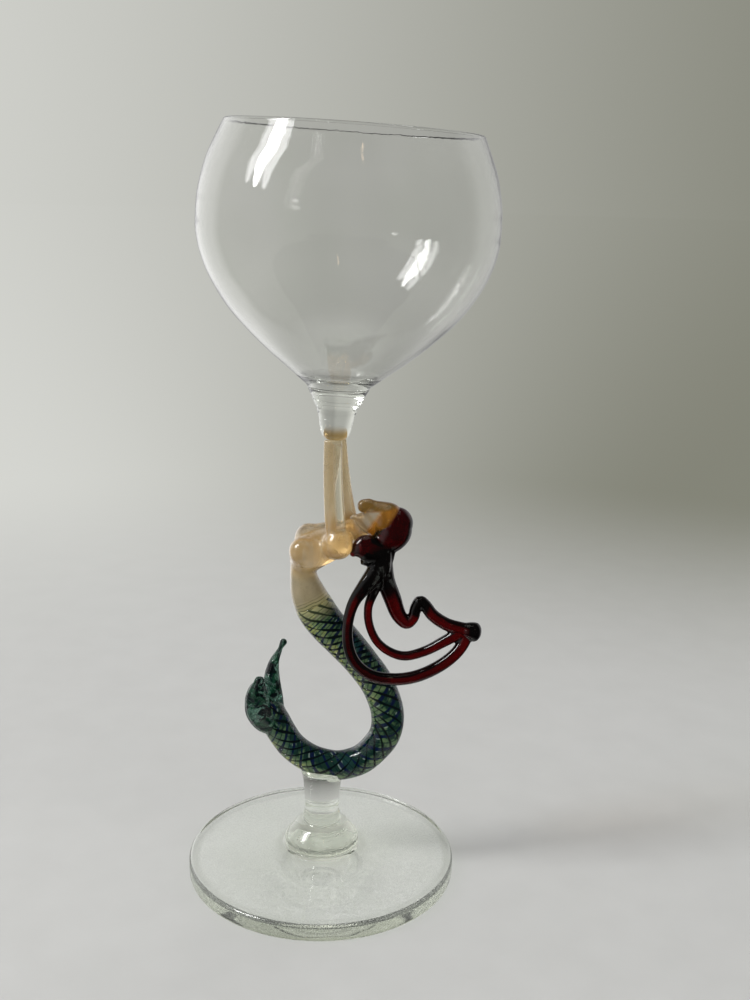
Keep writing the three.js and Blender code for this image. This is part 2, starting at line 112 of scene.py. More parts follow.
BACK_STRAND = [
    (161, -43, 674), (169, -39, 617), (188, -37, 565), (208, -37, 515), (230, -37, 493), (247, -37, 509),
    (254, -37, 539), (265, -37, 556), (279, -38, 546), (300, -42, 520), (338, -47, 496), (375, -52, 486),
    (402, -55, 481),
]
BACK_GIRTH = [1, 1, 0.98, 0.84, 0.68, 0.64, 0.66, 0.68, 0.68, 0.7, 0.72, 0.76, 0.8]
# Threads of each family for each centimetre of the tail, by share of the body's length.
FINE_CROWDING = [
    (0.13, 2.6), (0.20, 2.8), (0.26, 5.2), (0.34, 5.4), (0.40, 3.0), (0.55, 2.7), (0.7, 2.2),
    (0.85, 2.8),
]
BROAD_CROWDING = [(0.13, 5.5), (0.20, 4.6), (0.27, 2.6), (0.45, 2.3), (0.6, 2.2), (0.8, 2.2), (1.0, 2.6)]
UPRIGHT_FLUKE = [
    (-141, 6, 196), (-144, 11, 238), (-147, 19, 259), (-148, 28, 301), (-142, 37, 340), (-129, 43, 369),
    (-124, 45, 381), (-117, 47, 395),
]
UPRIGHT_GIRTH = [1.1, 1.05, 1, 0.78, 0.5, 0.28, 0.24, 0.36]
ROUND_FLUKE = [
    (-140, -12, 165), (-162, -22, 182), (-179, -32, 212), (-184, -38, 248), (-182, -44, 282), (-176, -48, 314),
]
ROUND_GIRTH = [0.85, 0.95, 1, 0.94, 0.76, 0.42]

# Turned outlines: (share of radius, share of height). The cup's are (share of height, share of its swell), and
# the post's hold the radius in millimetres.
BOWL_SHARES = [
    (0.339, 0.061), (0.489, 0.133), (0.637, 0.214), (0.773, 0.3), (0.885, 0.4), (0.952, 0.486), (0.99, 0.571),
    (1, 0.666), (0.983, 0.757), (0.945, 0.854), (0.895, 0.929), (0.841, 1),
]
BUTTON_SHARES = [(0.96, 0), (1, 0.14), (0.98, 0.32), (0.9, 0.52), (0.78, 0.72), (0.66, 0.88), (0.57, 1)]
CUP_SHARES = [(0, 0), (0.12, 0.26), (0.34, 0.4), (0.57, 0.52), (0.8, 0.72), (1, 1)]
POST_SHARES = [
    (5.45, 0), (5.75, 0.06), (5.6, 0.14), (5.25, 0.2), (5.3, 0.3), (5.6, 0.6), (6.1, 0.85), (6.45, 0.97),
]

# Turned outlines in millimetres, counted from the fingertips.
COLLAR = [
    (7.32, 11.56), (7.22, 11.72), (7.34, 11.9), (7.9, 13.0), (8.6, 14.3), (8.84, 14.72), (8.72, 14.95),
    (8.8, 15.15),
]
HANDS = [(0, 0.05), (1.2, 0.05), (1.9, 0.2), (2.2, 0.9), (2.2, 2.6), (1.9, 3.9), (1.2, 4.7), (0, 5.0)]

# Heights in millimetres: the post, the cup, the bevel under the foot, and the bowl's seat on its collar.
POST_HEIGHT, CUP_HEIGHT, BEVEL = 16.5, 11.5, 0.8
BOWL_SEAT = CUP_HEIGHT + 3.2 + 0.6
# Windings of the hair's ridges, the floor's radius in millimetres, and the bounces that deep glass needs.
WINDINGS, FLOOR_RADIUS, BOUNCES = 1.6, 9000, 24


class GlassColours(PropertyGroup):
    """Colours of the glass, as linear light."""

    clear: FloatVectorProperty(
        name="Clear glass", description="Tint of the clear glass", size=3, subtype="COLOR",
        default=(0.972, 0.978, 0.966),
    )
    flesh: FloatVectorProperty(
        name="Caramel glass", description="Arms and chest", size=3, subtype="COLOR", default=(0.60, 0.43, 0.20)
    )
    waist: FloatVectorProperty(
        name="Milky glass", description="Waist of the figure", size=3, subtype="COLOR", default=(0.42, 0.35, 0.215)
    )
    amber: FloatVectorProperty(
        name="Amber glass", description="Head", size=3, subtype="COLOR", default=(0.47, 0.195, 0.020)
    )
    ruby: FloatVectorProperty(
        name="Ruby glass", description="Hair", size=3, subtype="COLOR", default=(0.22, 0.002, 0.005)
    )
    leaf: FloatVectorProperty(
        name="Green glass", description="Body of the tail", size=3, subtype="COLOR", default=(0.080, 0.138, 0.060)
    )
    # The lit side of the tail: a paler copy of the green, laid on by painted light.
    straw: FloatVectorProperty(
        name="Yellow-green glass", description="Paler side of the tail", size=3, subtype="COLOR",
        default=(0.145, 0.205, 0.088),
    )
    teal: FloatVectorProperty(
        name="Teal glass", description="Shaded side of the tail", size=3, subtype="COLOR",
        default=(0.007, 0.027, 0.019),
    )
    thread: FloatVectorProperty(
        name="Thread", description="Crossed threads of the tail", size=3, subtype="COLOR",
        default=(0.001, 0.004, 0.005),
    )


class BowlSizes(PropertyGroup):
    """Sizes of the bowl."""

    radius: FloatProperty(name="Radius", description="Widest radius", default=0.0419, unit="LENGTH")
    height: FloatProperty(name="Height", description="Height above the collar", default=0.07, unit="LENGTH")
    wall: FloatProperty(name="Wall", description="Thickness of the wall", default=0.0012, unit="LENGTH")
    base_radius: FloatProperty(
        name="Base radius", description="Radius on the collar", default=0.0089, unit="LENGTH"
    )


class FootSizes(PropertyGroup):
    """Sizes of the foot and the button."""

    radius: FloatProperty(name="Radius", description="Radius of the foot", default=0.0412, unit="LENGTH")
    edge: FloatProperty(name="Edge", description="Height of the foot's edge", default=0.0052, unit="LENGTH")
    edge_round: FloatProperty(
        name="Edge rounding", description="Rounding of the edge", default=0.0014, unit="LENGTH"
    )
    button_radius: FloatProperty(
        name="Button radius", description="Dome on the foot", default=0.0115, unit="LENGTH"
    )


class FigureSizes(PropertyGroup):
    """How finely the fused glass of the figure is worked."""

    grain: FloatProperty(
        name="Grain", description="Cell size in which fused pieces are joined", default=0.00026, unit="LENGTH"
    )
    softness: IntProperty(name="Softness", description="Rounds of smoothing where pieces fuse", default=6, min=0)


class TailPattern(PropertyGroup):
    """Crossed threads of the tail."""

    fine_threads: IntProperty(name="Fine threads", description="Threads of the fine family", default=8)
    fine_rate: FloatProperty(
        name="Fine crowding", description="Multiplies how close the fine threads lie", default=1.0
    )
    broad_threads: IntProperty(name="Broad threads", description="Threads of the broad family", default=4)
    broad_rate: FloatProperty(
        name="Broad crowding", description="Multiplies how close the broad threads lie", default=1.0
    )


class StudioLight(PropertyGroup):
    """Strengths of the lamps and of the surroundings."""

    window: FloatProperty(name="Window", description="Power of the window lamp, in watts", default=6.0)
    fill: FloatProperty(name="Fill", description="Power of the fill lamp, in watts", default=2.6)
    bulb: FloatProperty(
        name="Bulb", description="Power of each small lamp that only glints, in watts", default=0.03
    )
    rim: FloatProperty(name="Rim", description="Power of the lamp behind, in watts", default=2.0)
    surroundings: FloatProperty(name="Surroundings", description="Strength of the room's light", default=0.5)


# Numbers and curves.


def rises(values, low, width):
    """0 up to the low value, then straight up to 1 over the width."""
    return np.clip((values - low) / width, 0, 1)


def falls(values, high, width):
    """Straight down from 1 to 0 over the width that ends at the high value."""
    return np.clip((high - values) / width, 0, 1)


def unit(rows):
    """Each row at length 1."""
    return rows / np.linalg.norm(rows, axis=1, keepdims=True)


def cubic(p, q, slope_p, slope_q, w):
    """The cubic from p at w = 0 to q at w = 1 with the given slopes there."""
    third, second = 2 * p - 2 * q + slope_p + slope_q, -3 * p + 3 * q - 2 * slope_p - slope_q
    return third * w**3 + second * w**2 + slope_p * w + p


def smooth_values(values, at):
    """Cubic between neighbouring values, whose slope at each is half the step across its neighbours."""
    values = np.asarray(values, float)
    last = len(values) - 1
    i = np.clip(np.floor(at).astype(int), 0, last - 1)
    w = at - i
    if values.ndim > 1:
        w = w[:, None]
    p0, p1, p2, p3 = (values[np.clip(i + k, 0, last)] for k in (-1, 0, 1, 2))
    return cubic(p1, p2, (p2 - p0) / 2, (p3 - p1) / 2, w)


def smoothed(values, count):
    """Evenly spread places on the smooth curve through all the values."""
    return smooth_values(values, np.linspace(0, len(values) - 1, count))


def smooth_path(points, at):
    """Cubic through each pair of points, whose end slopes weigh the chords by the square roots of their lengths."""
    points = np.asarray(points, float)
    full = np.vstack([2 * points[0] - points[1], points, 2 * points[-1] - points[-2]])
    i = np.clip(np.floor(at).astype(int), 0, len(points) - 2)
    p0, p1, p2, p3 = (full[i + k] for k in range(4))
    a, b, c = (np.sqrt(np.linalg.norm(q - p, axis=1, keepdims=True)) for p, q in ((p0, p1), (p1, p2), (p2, p3)))
    first = ((p1 - p0) / a - (p2 - p0) / (a + b) + (p2 - p1) / b) * b
    second = ((p2 - p1) / b - (p3 - p1) / (b + c) + (p3 - p2) / c) * b
    return cubic(p1, p2, first, second, (at - i)[:, None])


def placed(path):
    """Millimetres from thousandths of the figure's height."""
    return np.asarray(path, float) / 1000 * FIGURE_HEIGHT + (0, 0, FIGURE_LOW)


class Route:
    """A path of the figure with places, directions and lengths by share of its arc length."""

    def __init__(self, path):
        points = placed(path)
        self.knots = np.linspace(0, len(points) - 1, 200 * (len(points) - 1) + 1)
        self.places = smooth_path(points, self.knots)
        steps = np.linalg.norm(np.diff(self.places, axis=0), axis=1)
        self.lengths = np.concatenate([[0], np.cumsum(steps)])
        self.length = self.lengths[-1]

    def at(self, share):
        """Knot number, place, unit direction and the two directions across it, at each share of the length."""
        s = np.clip(share, 0, 1) * self.length

        def spot(shift):
            return np.stack([np.interp(s + shift, self.lengths, self.places[:, k]) for k in range(3)], 1)

        way = unit(spot(0.05) - spot(-0.05))
        side = unit(np.array([0.0, 1.0, 0.0]) - way * way[:, 1:2])
        return np.interp(s, self.lengths, self.knots), spot(0), way, side, np.cross(way, side)


# Shapes: closed grids of points in millimetres.


class Shape:
    """A closed surface: rings of equal corner count from a first pole to a last pole, with UVs (turn, along)."""

    def __init__(self, rings, first, last, along):
        count, sides = rings.shape[:2]
        self.points = np.vstack([rings.reshape(-1, 3), [first], [last]])
        self.along = along
        i, j = np.meshgrid(np.arange(count - 1), np.arange(sides), indexing="ij")
        a, b = i * sides + j, i * sides + (j + 1) % sides
        self.quads = np.stack([a, b, b + sides, a + sides], -1).reshape(-1, 4)
        row, turn = i.reshape(-1), j.reshape(-1)
        u = np.stack([turn, turn + 1, turn + 1, turn], -1) / sides
        self.quad_uv = np.stack([u, along[np.stack([row, row, row + 1, row + 1], -1)]], -1)
        j = np.arange(sides)
        k = (j + 1) % sides
        pole, ring = np.full(sides, count * sides), (count - 1) * sides
        self.fans = np.vstack([np.stack([pole, k, j], -1), np.stack([pole + 1, ring + j, ring + k], -1)])
        half, one, zero = (j + 0.5) / sides, (j + 1) / sides, j / sides
        self.fan_uv = np.vstack([
            np.stack([np.stack(turns, -1), np.full((sides, 3), height)], -1)
            for turns, height in (((half, one, zero), along[0]), ((half, zero, one), along[-1]))
        ])


def turned(outline, sides, matrix=None):
    """Revolves an outline of (radius, height) about Z: x = r cos a, y = r sin a. It starts and ends on the axis."""
    outline = np.asarray(outline, float)
    angle = np.arange(sides) / sides * 2 * math.pi
    ring, height = outline[1:-1, 0], outline[1:-1, 1]
    rings = np.stack([
        ring[:, None] * np.cos(angle), ring[:, None] * np.sin(angle), np.repeat(height[:, None], sides, 1)
    ], -1)
    ends = np.array([[0, 0, outline[0, 1]], [0, 0, outline[-1, 1]]])
    if matrix is not None:
        m = np.array(matrix)
        rings, ends = (points @ m[:3, :3].T + m[:3, 3] for points in (rings, ends))
    steps = np.linalg.norm(np.diff(outline[1:-1], axis=0), axis=1)
    return Shape(rings, ends[0], ends[1], np.concatenate([[0], np.cumsum(steps)]))


def rod(path, girth, radius, depth=1.0, ends=(1.0, 1.0), reach=(0.0, 1.0), sides=32, step=0.35, grown=0.0,
        ripple=None, offset=None):
    """A round section carried along a smooth path: place + r cos a (depth side) + r sin a (across).

    The radius runs smoothly through the girths. Each end is a dome whose height is a share of the radius there.
    The ripple is a function of (turn, share) that scales the radius, and the offset moves the section across.
    """
    route = Route(path)
    rows = max(8, int((reach[1] - reach[0]) * route.length / step))
    cap = max(3, int(radius / step))
    rise = np.linspace(0, math.pi / 2, cap + 1)[1:]
    share = np.concatenate([
        np.full(cap, reach[0]), np.linspace(reach[0], reach[1], rows + 1), np.full(cap, reach[1])
    ])
    past = np.concatenate([-np.sin(rise[::-1]) * ends[0], np.zeros(rows + 1), np.sin(rise) * ends[1]])
    wide = np.concatenate([np.cos(rise[::-1]), np.ones(rows + 1), np.cos(rise)])
    knot, place, way, side, across = route.at(share)
    local = smooth_values(np.asarray(girth) * radius, knot) + grown
    spot = place + way * (past * local)[:, None]
    if offset:
        spot = spot + across * offset(share)[:, None]
    turn = np.arange(sides) / sides
    angle = turn * 2 * math.pi
    reaches = (local * wide)[:, None] * (ripple(turn[None, :], share[:, None]) if ripple else np.ones(sides))
    sideways, crossways = reaches * np.cos(angle) * depth, reaches * np.sin(angle)
    rings = spot[:, None] + side[:, None] * sideways[..., None] + across[:, None] * crossways[..., None]
    along = share * route.length / 10 + past * local / 10
    return Shape(rings[1:-1], spot[0], spot[-1], along[1:-1])


def lobe(centre, radius, stretch=(1, 1, 1), sides=28):
    """An ellipsoid about a place of the figure: radius times the stretch along each axis."""
    rise = np.linspace(-math.pi / 2, math.pi / 2, sides // 2 + 2)
    matrix = np.diag([*(np.asarray(stretch, float) * radius), 1])
    matrix[:3, 3] = placed(centre)
    return turned(np.stack([np.cos(rise), np.sin(rise)], 1), sides, matrix)


# Pieces: shapes made into objects that ride on the goblet.


def mesh_from(name, shapes):
    """One mesh from closed shapes, in metres, with a UV of (turn, centimetres along)."""
    points, faces, uvs, start = [], [], [], 0
    for shape in shapes:
        points.append(shape.points)
        faces += (shape.quads + start).tolist() + (shape.fans + start).tolist()
        uvs += [shape.quad_uv.reshape(-1, 2), shape.fan_uv.reshape(-1, 2)]
        start += len(shape.points)
    mesh = bpy.data.meshes.new(name)
    mesh.from_pydata((np.vstack(points) * MM).tolist(), [], faces)
    layer = mesh.uv_layers.new(name="Wrap")
    layer.data.foreach_set("uv", np.vstack(uvs).astype(np.float32).reshape(-1))
    mesh.shade_smooth()
    mesh.update()
    return mesh


def fused_mesh(name, shapes, grain, softness):
    """Closed shapes joined into one skin on a grid of cells, then relaxed so that the joints flow together."""
    raw = mesh_from(name + "_raw", shapes)
    holder = bpy.data.objects.new(name + "_raw", raw)
    bpy.context.scene.collection.objects.link(holder)
    join = holder.modifiers.new("Join", "REMESH")
    join.mode, join.voxel_size, join.use_smooth_shade = "VOXEL", grain, True
    relax = holder.modifiers.new("Relax", "SMOOTH")
    relax.factor, relax.iterations = 0.5, softness
    graph = bpy.context.evaluated_depsgraph_get()
    mesh = bpy.data.meshes.new_from_object(holder.evaluated_get(graph))
    mesh.name = name
    bpy.data.objects.remove(holder)
    bpy.data.meshes.remove(raw)
    return mesh


def vectors_of(mesh, field):
    """The place in metres ("co") or the direction ("normal") of every corner of a mesh."""
    flat = np.zeros(len(mesh.vertices) * 3, np.float32)
    mesh.vertices.foreach_get(field, flat)
    return flat.reshape(-1, 3)


def corners_of(mesh):
    """All corners of a mesh in millimetres."""
    return vectors_of(mesh, "co").astype(float) / MM


def relax_mesh(mesh, weight, rounds):
    """Moves each corner towards the middle of its neighbours, by half of its weight in each round."""
    corners, count = corners_of(mesh), len(mesh.vertices)
    ends = np.zeros(len(mesh.edges) * 2, np.int32)
    mesh.edges.foreach_get("vertices", ends)
    a, b = ends.reshape(-1, 2).T
    near = np.bincount(a, minlength=count) + np.bincount(b, minlength=count)
    for _ in range(rounds):
        total = [np.bincount(a, corners[b, k], count) + np.bincount(b, corners[a, k], count) for k in range(3)]
        corners += (0.5 * weight)[:, None] * (np.stack(total, 1) / near[:, None] - corners)
    mesh.vertices.foreach_set("co", (corners * MM).astype(np.float32).reshape(-1))
    mesh.update()


def cut_mesh(mesh, name, place, way):
    """The part of a closed mesh ahead of a plane, closed again over the cut."""
    work = bmesh.new()
    work.from_mesh(mesh)
    bmesh.ops.bisect_plane(
        work, geom=work.verts[:] + work.edges[:] + work.faces[:], plane_co=Vector(place) * MM,
        plane_no=Vector(way), clear_inner=True,
    )
    rim = [edge for edge in work.edges if edge.is_boundary]
    caps = bmesh.ops.edgeloop_fill(work, edges=rim)["faces"]
    for cap in caps:
        cap.smooth = False
    bmesh.ops.triangulate(work, faces=caps)
    bmesh.ops.recalc_face_normals(work, faces=work.faces)
    part = bpy.data.meshes.new(name)
    work.to_mesh(part)
    work.free()
    return part


def mark(mesh, name, values):
    """Keeps one number for each corner as an attribute that a material reads."""
    layer = mesh.attributes.new(name, "FLOAT", "POINT")
    layer.data.foreach_set("value", np.asarray(values, np.float32))


def add_piece(name, mesh, make, slot, *nodes):
    """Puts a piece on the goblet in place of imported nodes, in the material that a function makes once."""
    if len(mesh.polygons) == 0:
        raise RuntimeError(f"{name} has no faces")
    mesh.materials.clear()
    mesh.materials.append(bpy.data.materials.get(make.__name__) or make(bpy.context.scene.goblet_colours))
    piece = bpy.data.objects.new(name, mesh)
    bpy.context.scene.collection.objects.link(piece)
    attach(piece, "root")
    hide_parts(*nodes)


# Materials.


class Finish:
    """A material or a world whose nodes are added by short calls."""

    def __init__(self, name, owner=None):
        self.material = owner or bpy.data.materials.new(name)
        self.material.use_nodes = True
        self.tree = self.material.node_tree
        self.tree.nodes.clear()
        self.spots = self.node("TexCoord").outputs

    def node(self, kind, inputs=None, **settings):
        """Adds a node and sets or links its inputs."""
        node = self.tree.nodes.new("ShaderNode" + kind)
        for key, value in settings.items():
            setattr(node, key, value)
        for key, value in (inputs or {}).items():
            if isinstance(value, bpy.types.NodeSocket):
                self.tree.links.new(value, node.inputs[key])
            else:
                node.inputs[key].default_value = value
        return node

    def maths(self, operation, a, b=0.0, c=0.0):
        return self.node("Math", {0: a, 1: b, 2: c}, operation=operation).outputs[0]

    def times(self, a, b):
        return self.maths("MULTIPLY", a, b)

    def line(self, value, slope, start):
        """value * slope + start."""
        return self.maths("MULTIPLY_ADD", value, slope, start)

    def less(self, value):
        """1 - value."""
        return self.maths("SUBTRACT", 1.0, value)

    def most(self, a, b):
        return self.maths("MAXIMUM", a, b)

    def ramp(self, value, low, high):
        """Runs smoothly from 0 to 1 between two values."""
        node = self.node("MapRange", {0: value, 1: low, 2: high, 3: 0.0, 4: 1.0}, interpolation_type="SMOOTHSTEP")
        return node.outputs[0]

    def layered(self, base, *layers):
        """Lays colours over a base: each (share, colour) covers what is under it by its share."""
        for share, paint in layers:
            base, paint = (c if isinstance(c, bpy.types.NodeSocket) else (*c, 1.0) for c in (base, paint))
            base = self.node("Mix", {0: share, 6: base, 7: paint}, data_type="RGBA").outputs[2]
        return base

    def noise(self, scale, detail=2.0, distortion=0.0, vector=None, output="Fac"):
        """Cloudy numbers in the object's own space, or in that of a vector."""
        spot = self.spots["Object"] if vector is None else vector
        inputs = {"Vector": spot, "Scale": scale, "Detail": detail, "Distortion": distortion}
        return self.node("TexNoise", inputs).outputs[output]

    def parts(self, vector=None):
        """The numbers X, Y and Z of a vector, or of the place."""
        return self.node("SeparateXYZ", {0: self.spots["Object"] if vector is None else vector}).outputs

    def marked(self, name):
        return self.node("Attribute", attribute_name=name).outputs["Fac"]

    def bump(self, height, strength, distance):
        return self.node("Bump", {"Height": height, "Strength": strength, "Distance": distance}).outputs[0]

    def glass(self, tint, roughness, transmission, relief, shadow, absorbed=None, density=0.0, **others):
        """Ends the material: glass for the eye, Transparent in the shadow's tint for lamps and dull things."""
        inputs = {"Base Color": tint, "Roughness": roughness, "Transmission Weight": transmission, "IOR": 1.5}
        body = self.node("BsdfPrincipled", inputs | others | ({"Normal": relief} if relief else {}))
        path = self.node("LightPath").outputs
        lamp = self.most(path["Is Shadow Ray"], path["Is Diffuse Ray"])
        through = self.node("BsdfTransparent", {"Color": (*shadow, 1)})
        surface = self.node("MixShader", {0: lamp, 1: body.outputs[0], 2: through.outputs[0]})
        out = self.node("OutputMaterial", {"Surface": surface.outputs[0]})
        if absorbed:
            depth = self.node("VolumeAbsorption", {"Color": (*absorbed, 1), "Density": density})
            self.tree.links.new(depth.outputs[0], out.inputs["Volume"])
        return self.material


def times(paint, share):
    """A colour made darker or brighter."""
    return tuple(min(1.0, value * share) for value in paint)


def coat(weight):
    """A thin gloss over cloudy glass."""
    return {"Coat Weight": weight, "Coat Roughness": 0.01}


def clear_finish(colours):
    """Clear glass with the faint waves and dust of hand work, grey-green where thick."""
    f = Finish("clear_finish")
    waves = f.noise(45.0, 1.0)
    relief = f.line(f.noise(230.0, 1.0, 1.5), 0.09, waves)
    dust = f.ramp(f.noise(900.0, 3.0), 0.52, 0.78)
    tint = f.layered(colours.clear, (f.ramp(waves, 0.3, 0.7), times(colours.clear, 1.04)))
    return f.glass(
        tint, f.line(dust, 0.05, 0.004), 1.0, f.bump(relief, 0.22, 0.0006), (0.955, 0.97, 0.96),
        (0.84, 0.90, 0.80), 12.0,
    )


def foot_finish(colours):
    """The clear glass of the foot, with the fine grain of a foot that has stood on tables, but a clear rim."""
    f = Finish("foot_finish")
    waves = f.noise(60.0, 1.0)
    grain = f.ramp(f.noise(2200.0, 4.0), 0.35, 0.75)
    flat = f.node("VectorMath", {0: f.spots["Object"], 1: (1.0, 1.0, 0.0)}, operation="MULTIPLY").outputs["Vector"]
    reach = f.node("VectorMath", {0: flat}, operation="LENGTH").outputs["Value"]
    top = f.maths("SUBTRACT", f.ramp(reach, 0.0125, 0.0155), f.ramp(reach, 0.0372, 0.0392))
    worn = f.times(grain, top)
    tint = f.layered(colours.clear, (f.ramp(waves, 0.3, 0.7), times(colours.clear, 1.04)))
    return f.glass(
        tint, f.times(worn, 0.05), f.line(worn, -0.24, 0.995), f.bump(waves, 0.15, 0.0006), (0.97, 0.98, 0.97),
        (0.86, 0.90, 0.78), 18.0,
    )


def flesh_finish(colours):
    """Caramel glass, cloudy inside under a gloss, paler in the arms, and clear in a band down the near arm."""
    f = Finish("flesh_finish")
    drawn = f.node("Mapping", {"Vector": f.spots["Object"], "Scale": (1.0, 1.0, 0.08)}).outputs[0]
    streaks = f.noise(520.0, 1.0, 0.3, drawn)
    clouds = f.noise(130.0, 2.0, 0.3)
    strip = f.marked("strip")
    tint = f.layered(
        colours.flesh,
        (f.ramp(clouds, 0.35, 0.7), (0.52, 0.36, 0.155)),
        # Painted pool of light where light shines through the chest.
        (f.marked("lit_through"), (0.84, 0.68, 0.44)),
        (f.ramp(f.parts()[2], 0.112, 0.118), (0.56, 0.47, 0.30)),
        (f.marked("far"), (0.80, 0.72, 0.53)),
        (f.times(f.ramp(streaks, 0.45, 0.7), 0.6), (0.68, 0.58, 0.40)),
        (strip, (0.86, 0.84, 0.74)),
        (f.times(f.ramp(f.noise(1500.0), 0.74, 0.78), 0.7), (1.0, 0.86, 0.45)),
    )
    milk = f.line(f.ramp(clouds, 0.3, 0.75), -0.15, 0.68)
    cloudy = f.line(streaks, 0.04, f.line(strip, -0.2, 0.24))
    return f.glass(
        tint, f.most(cloudy, 0.02), f.layered(milk, (strip, (0.93, 0.93, 0.93))), f.bump(clouds, 0.2, 0.0006),
        (0.80, 0.66, 0.44), (0.90, 0.80, 0.56), 60.0, **coat(0.65),
    )


def torso_finish(colours):
    """Milky beige glass, warmer at its top, with fine threads coming in where the tail starts."""
    f = Finish("torso_finish")
    clouds = f.noise(140.0, 2.0, 0.5)
    bend = f.line(clouds, 1.6, f.marked("above_tail"))
    thread = f.less(f.ramp(f.maths("PINGPONG", bend, 0.45), 0.03, 0.16))
    tint = f.layered(
        colours.waist,
        (f.ramp(clouds, 0.3, 0.7), times(colours.waist, 1.12)),
        (f.times(f.ramp(f.noise(1300.0), 0.5, 0.7), 0.25), times(colours.waist, 0.7)),
        (f.marked("warm"), colours.flesh),
        (f.less(f.ramp(bend, 0.9, 3.0)), (0.36, 0.34, 0.17)),
        (f.times(f.times(thread, f.less(f.ramp(bend, 1.6, 4.2))), 0.9), (0.07, 0.09, 0.035)),
    )
    return f.glass(
        tint, f.line(clouds, 0.1, 0.15), f.line(clouds, -0.25, 0.6), f.bump(clouds, 0.15, 0.0004),
        (0.75, 0.68, 0.54), **coat(0.4),
    )


def amber_finish(colours):
    """Amber glass, brown along the brow, nearly clear at the throat, that runs into ruby under the hair."""
    f = Finish("amber_finish")
    clouds = f.noise(220.0, 2.0, 0.8)
    pale = f.marked("pale")
    tint = f.layered(
        colours.amber,
        (f.ramp(clouds, 0.35, 0.7), times(colours.amber, 1.5)),
        (f.marked("brow"), (0.26, 0.15, 0.032)),
        (pale, (0.38, 0.33, 0.23)),
        (f.times(f.ramp(f.noise(1600.0), 0.64, 0.70), 0.6), (0.85, 0.55, 0.16)),
        (f.ramp(f.line(clouds, 0.5, f.marked("ruby")), 0.5, 0.95), times(colours.ruby, 0.5)),
    )
    return f.glass(
        tint, f.line(clouds, 0.1, 0.1), f.line(pale, -0.2, 0.62), f.bump(clouds, 0.2, 0.0005),
        (0.62, 0.36, 0.12), **coat(0.8),
    )


def hand_finish(colours):
    """Amber glass shut inside the clear cup: a tint that fades upwards and doesn't bend the light again."""
    f = Finish("hand_finish")
    clouds = f.noise(300.0)
    rise = f.line(clouds, 0.002, f.parts()[2])
    tint = f.layered(
        (0.52, 0.33, 0.12), (clouds, (0.68, 0.50, 0.26)), (f.ramp(rise, 0.1394, 0.1428), (1.0, 1.0, 1.0))
    )
    return f.glass(tint, 0.0, 1.0, None, (0.85, 0.7, 0.45), IOR=1.001)


def ruby_finish(colours):
    """Deep ruby glass: red where thin, nearly black where it gathers, with painted side shade and ridge sheen."""
    f = Finish("ruby_finish")
    drawn = f.noise(110.0, 2.0, 1.2)
    fine = f.noise(420.0, 2.0, 1.5)
    gather = f.line(drawn, 0.9, f.marked("dark"))
    shade = f.ramp(gather, 0.6, 1.1)
    # The streak mark lays a painted grey sheen on the ridge crests of the dark hair.
    thin = f.times(f.marked("streak"), f.ramp(fine, 0.42, 0.56))
    tint = f.layered(
        times(colours.ruby, 0.8),
        (f.ramp(fine, 0.35, 0.7), times(colours.ruby, 1.35)),
        (shade, (0.003, 0.002, 0.002)),
        (f.times(thin, f.ramp(gather, 0.8, 1.2)), (0.10, 0.11, 0.10)),
    )
    return f.glass(
        tint, f.line(drawn, 0.02, 0.004), f.line(shade, -0.25, 0.94), f.bump(drawn, 0.12, 0.0006),
        (0.25, 0.01, 0.015), (0.75, 0.04, 0.06), 800.0, **{"Specular IOR Level": 0.2},
    )


def scale_finish(colours):
    """Yellow-green core under clear casing, crossed by two families of dark threads that wind opposite ways."""
    f = Finish("scale_finish")
    pattern = bpy.context.scene.goblet_tail
    turn = f.parts(f.node("UVMap", uv_map="Wrap").outputs[0])[0]
    drift = f.noise(75.0, 1.0)
    uneven = f.noise(210.0, 1.0)
    slack = f.line(drift, -1.6, 0.4)
    passed = f.times(f.marked("fine_passed"), pattern.fine_rate)
    crossed = f.times(f.marked("broad_passed"), -pattern.broad_rate)

    def threads(passed, count, half, soft, shift):
        """One family of threads: near 1 where count * turn + threads passed is near a whole number."""
        off = f.maths("PINGPONG", f.maths("ADD", f.line(turn, float(count), passed), shift), 0.5)
        return f.less(f.ramp(f.maths("SUBTRACT", off, half), 0.0, soft))

    width = f.times(f.line(uneven, 0.30, -0.055), f.marked("fine_wide"))
    fine = threads(passed, pattern.fine_threads, width, 0.045, f.times(drift, 1.8))
    back = threads(crossed, pattern.broad_threads, 0.03, 0.04, f.maths("ADD", slack, 0.5))
    width = f.line(uneven, 0.34, -0.06)
    broad = threads(crossed, pattern.broad_threads, width, 0.04, slack)
    halo = threads(crossed, pattern.broad_threads, f.maths("ADD", width, 0.10), 0.04, slack)
    pearl = f.ramp(f.noise(420.0, 1.0, 0.5), 0.60, 0.66)
    clouds = f.noise(380.0, 2.0, 0.6)
    # shade carries painted light and shade: teal where the core is shaded, then green, lit yellow-green and pale
    # yellow.
    shade = f.line(clouds, 2.4, f.marked("painted_light_and_shade"))
    tint = f.layered(
        colours.teal,
        (f.ramp(shade, 0.5, 1.0), colours.leaf),
        (f.ramp(shade, 1.0, 1.35), colours.straw),
        (f.ramp(shade, 1.38, 1.62), (0.31, 0.34, 0.10)),
        (f.times(f.ramp(drift, 0.56, 0.7), 0.55), (0.015, 0.055, 0.065)),
        (f.times(f.times(pearl, halo), 0.5), (0.30, 0.38, 0.33)),
        (f.times(broad, 0.96), (0.002, 0.006, 0.032)),
        (f.times(back, 0.75), (0.003, 0.012, 0.018)),
        (fine, colours.thread),
    )
    beige = f.layered((0.36, 0.34, 0.17), (f.most(fine, back), (0.05, 0.06, 0.03)))
    body = f.node("BsdfPrincipled", {
        "Base Color": f.layered(beige, (f.marked("start"), tint)),
        "Roughness": f.line(clouds, 0.2, 0.35),
        "Specular IOR Level": 0.0,
        "Normal": f.bump(f.most(fine, broad), 0.3, 0.00015),
    })
    f.node("OutputMaterial", {"Surface": body.outputs[0]})
    return f.material


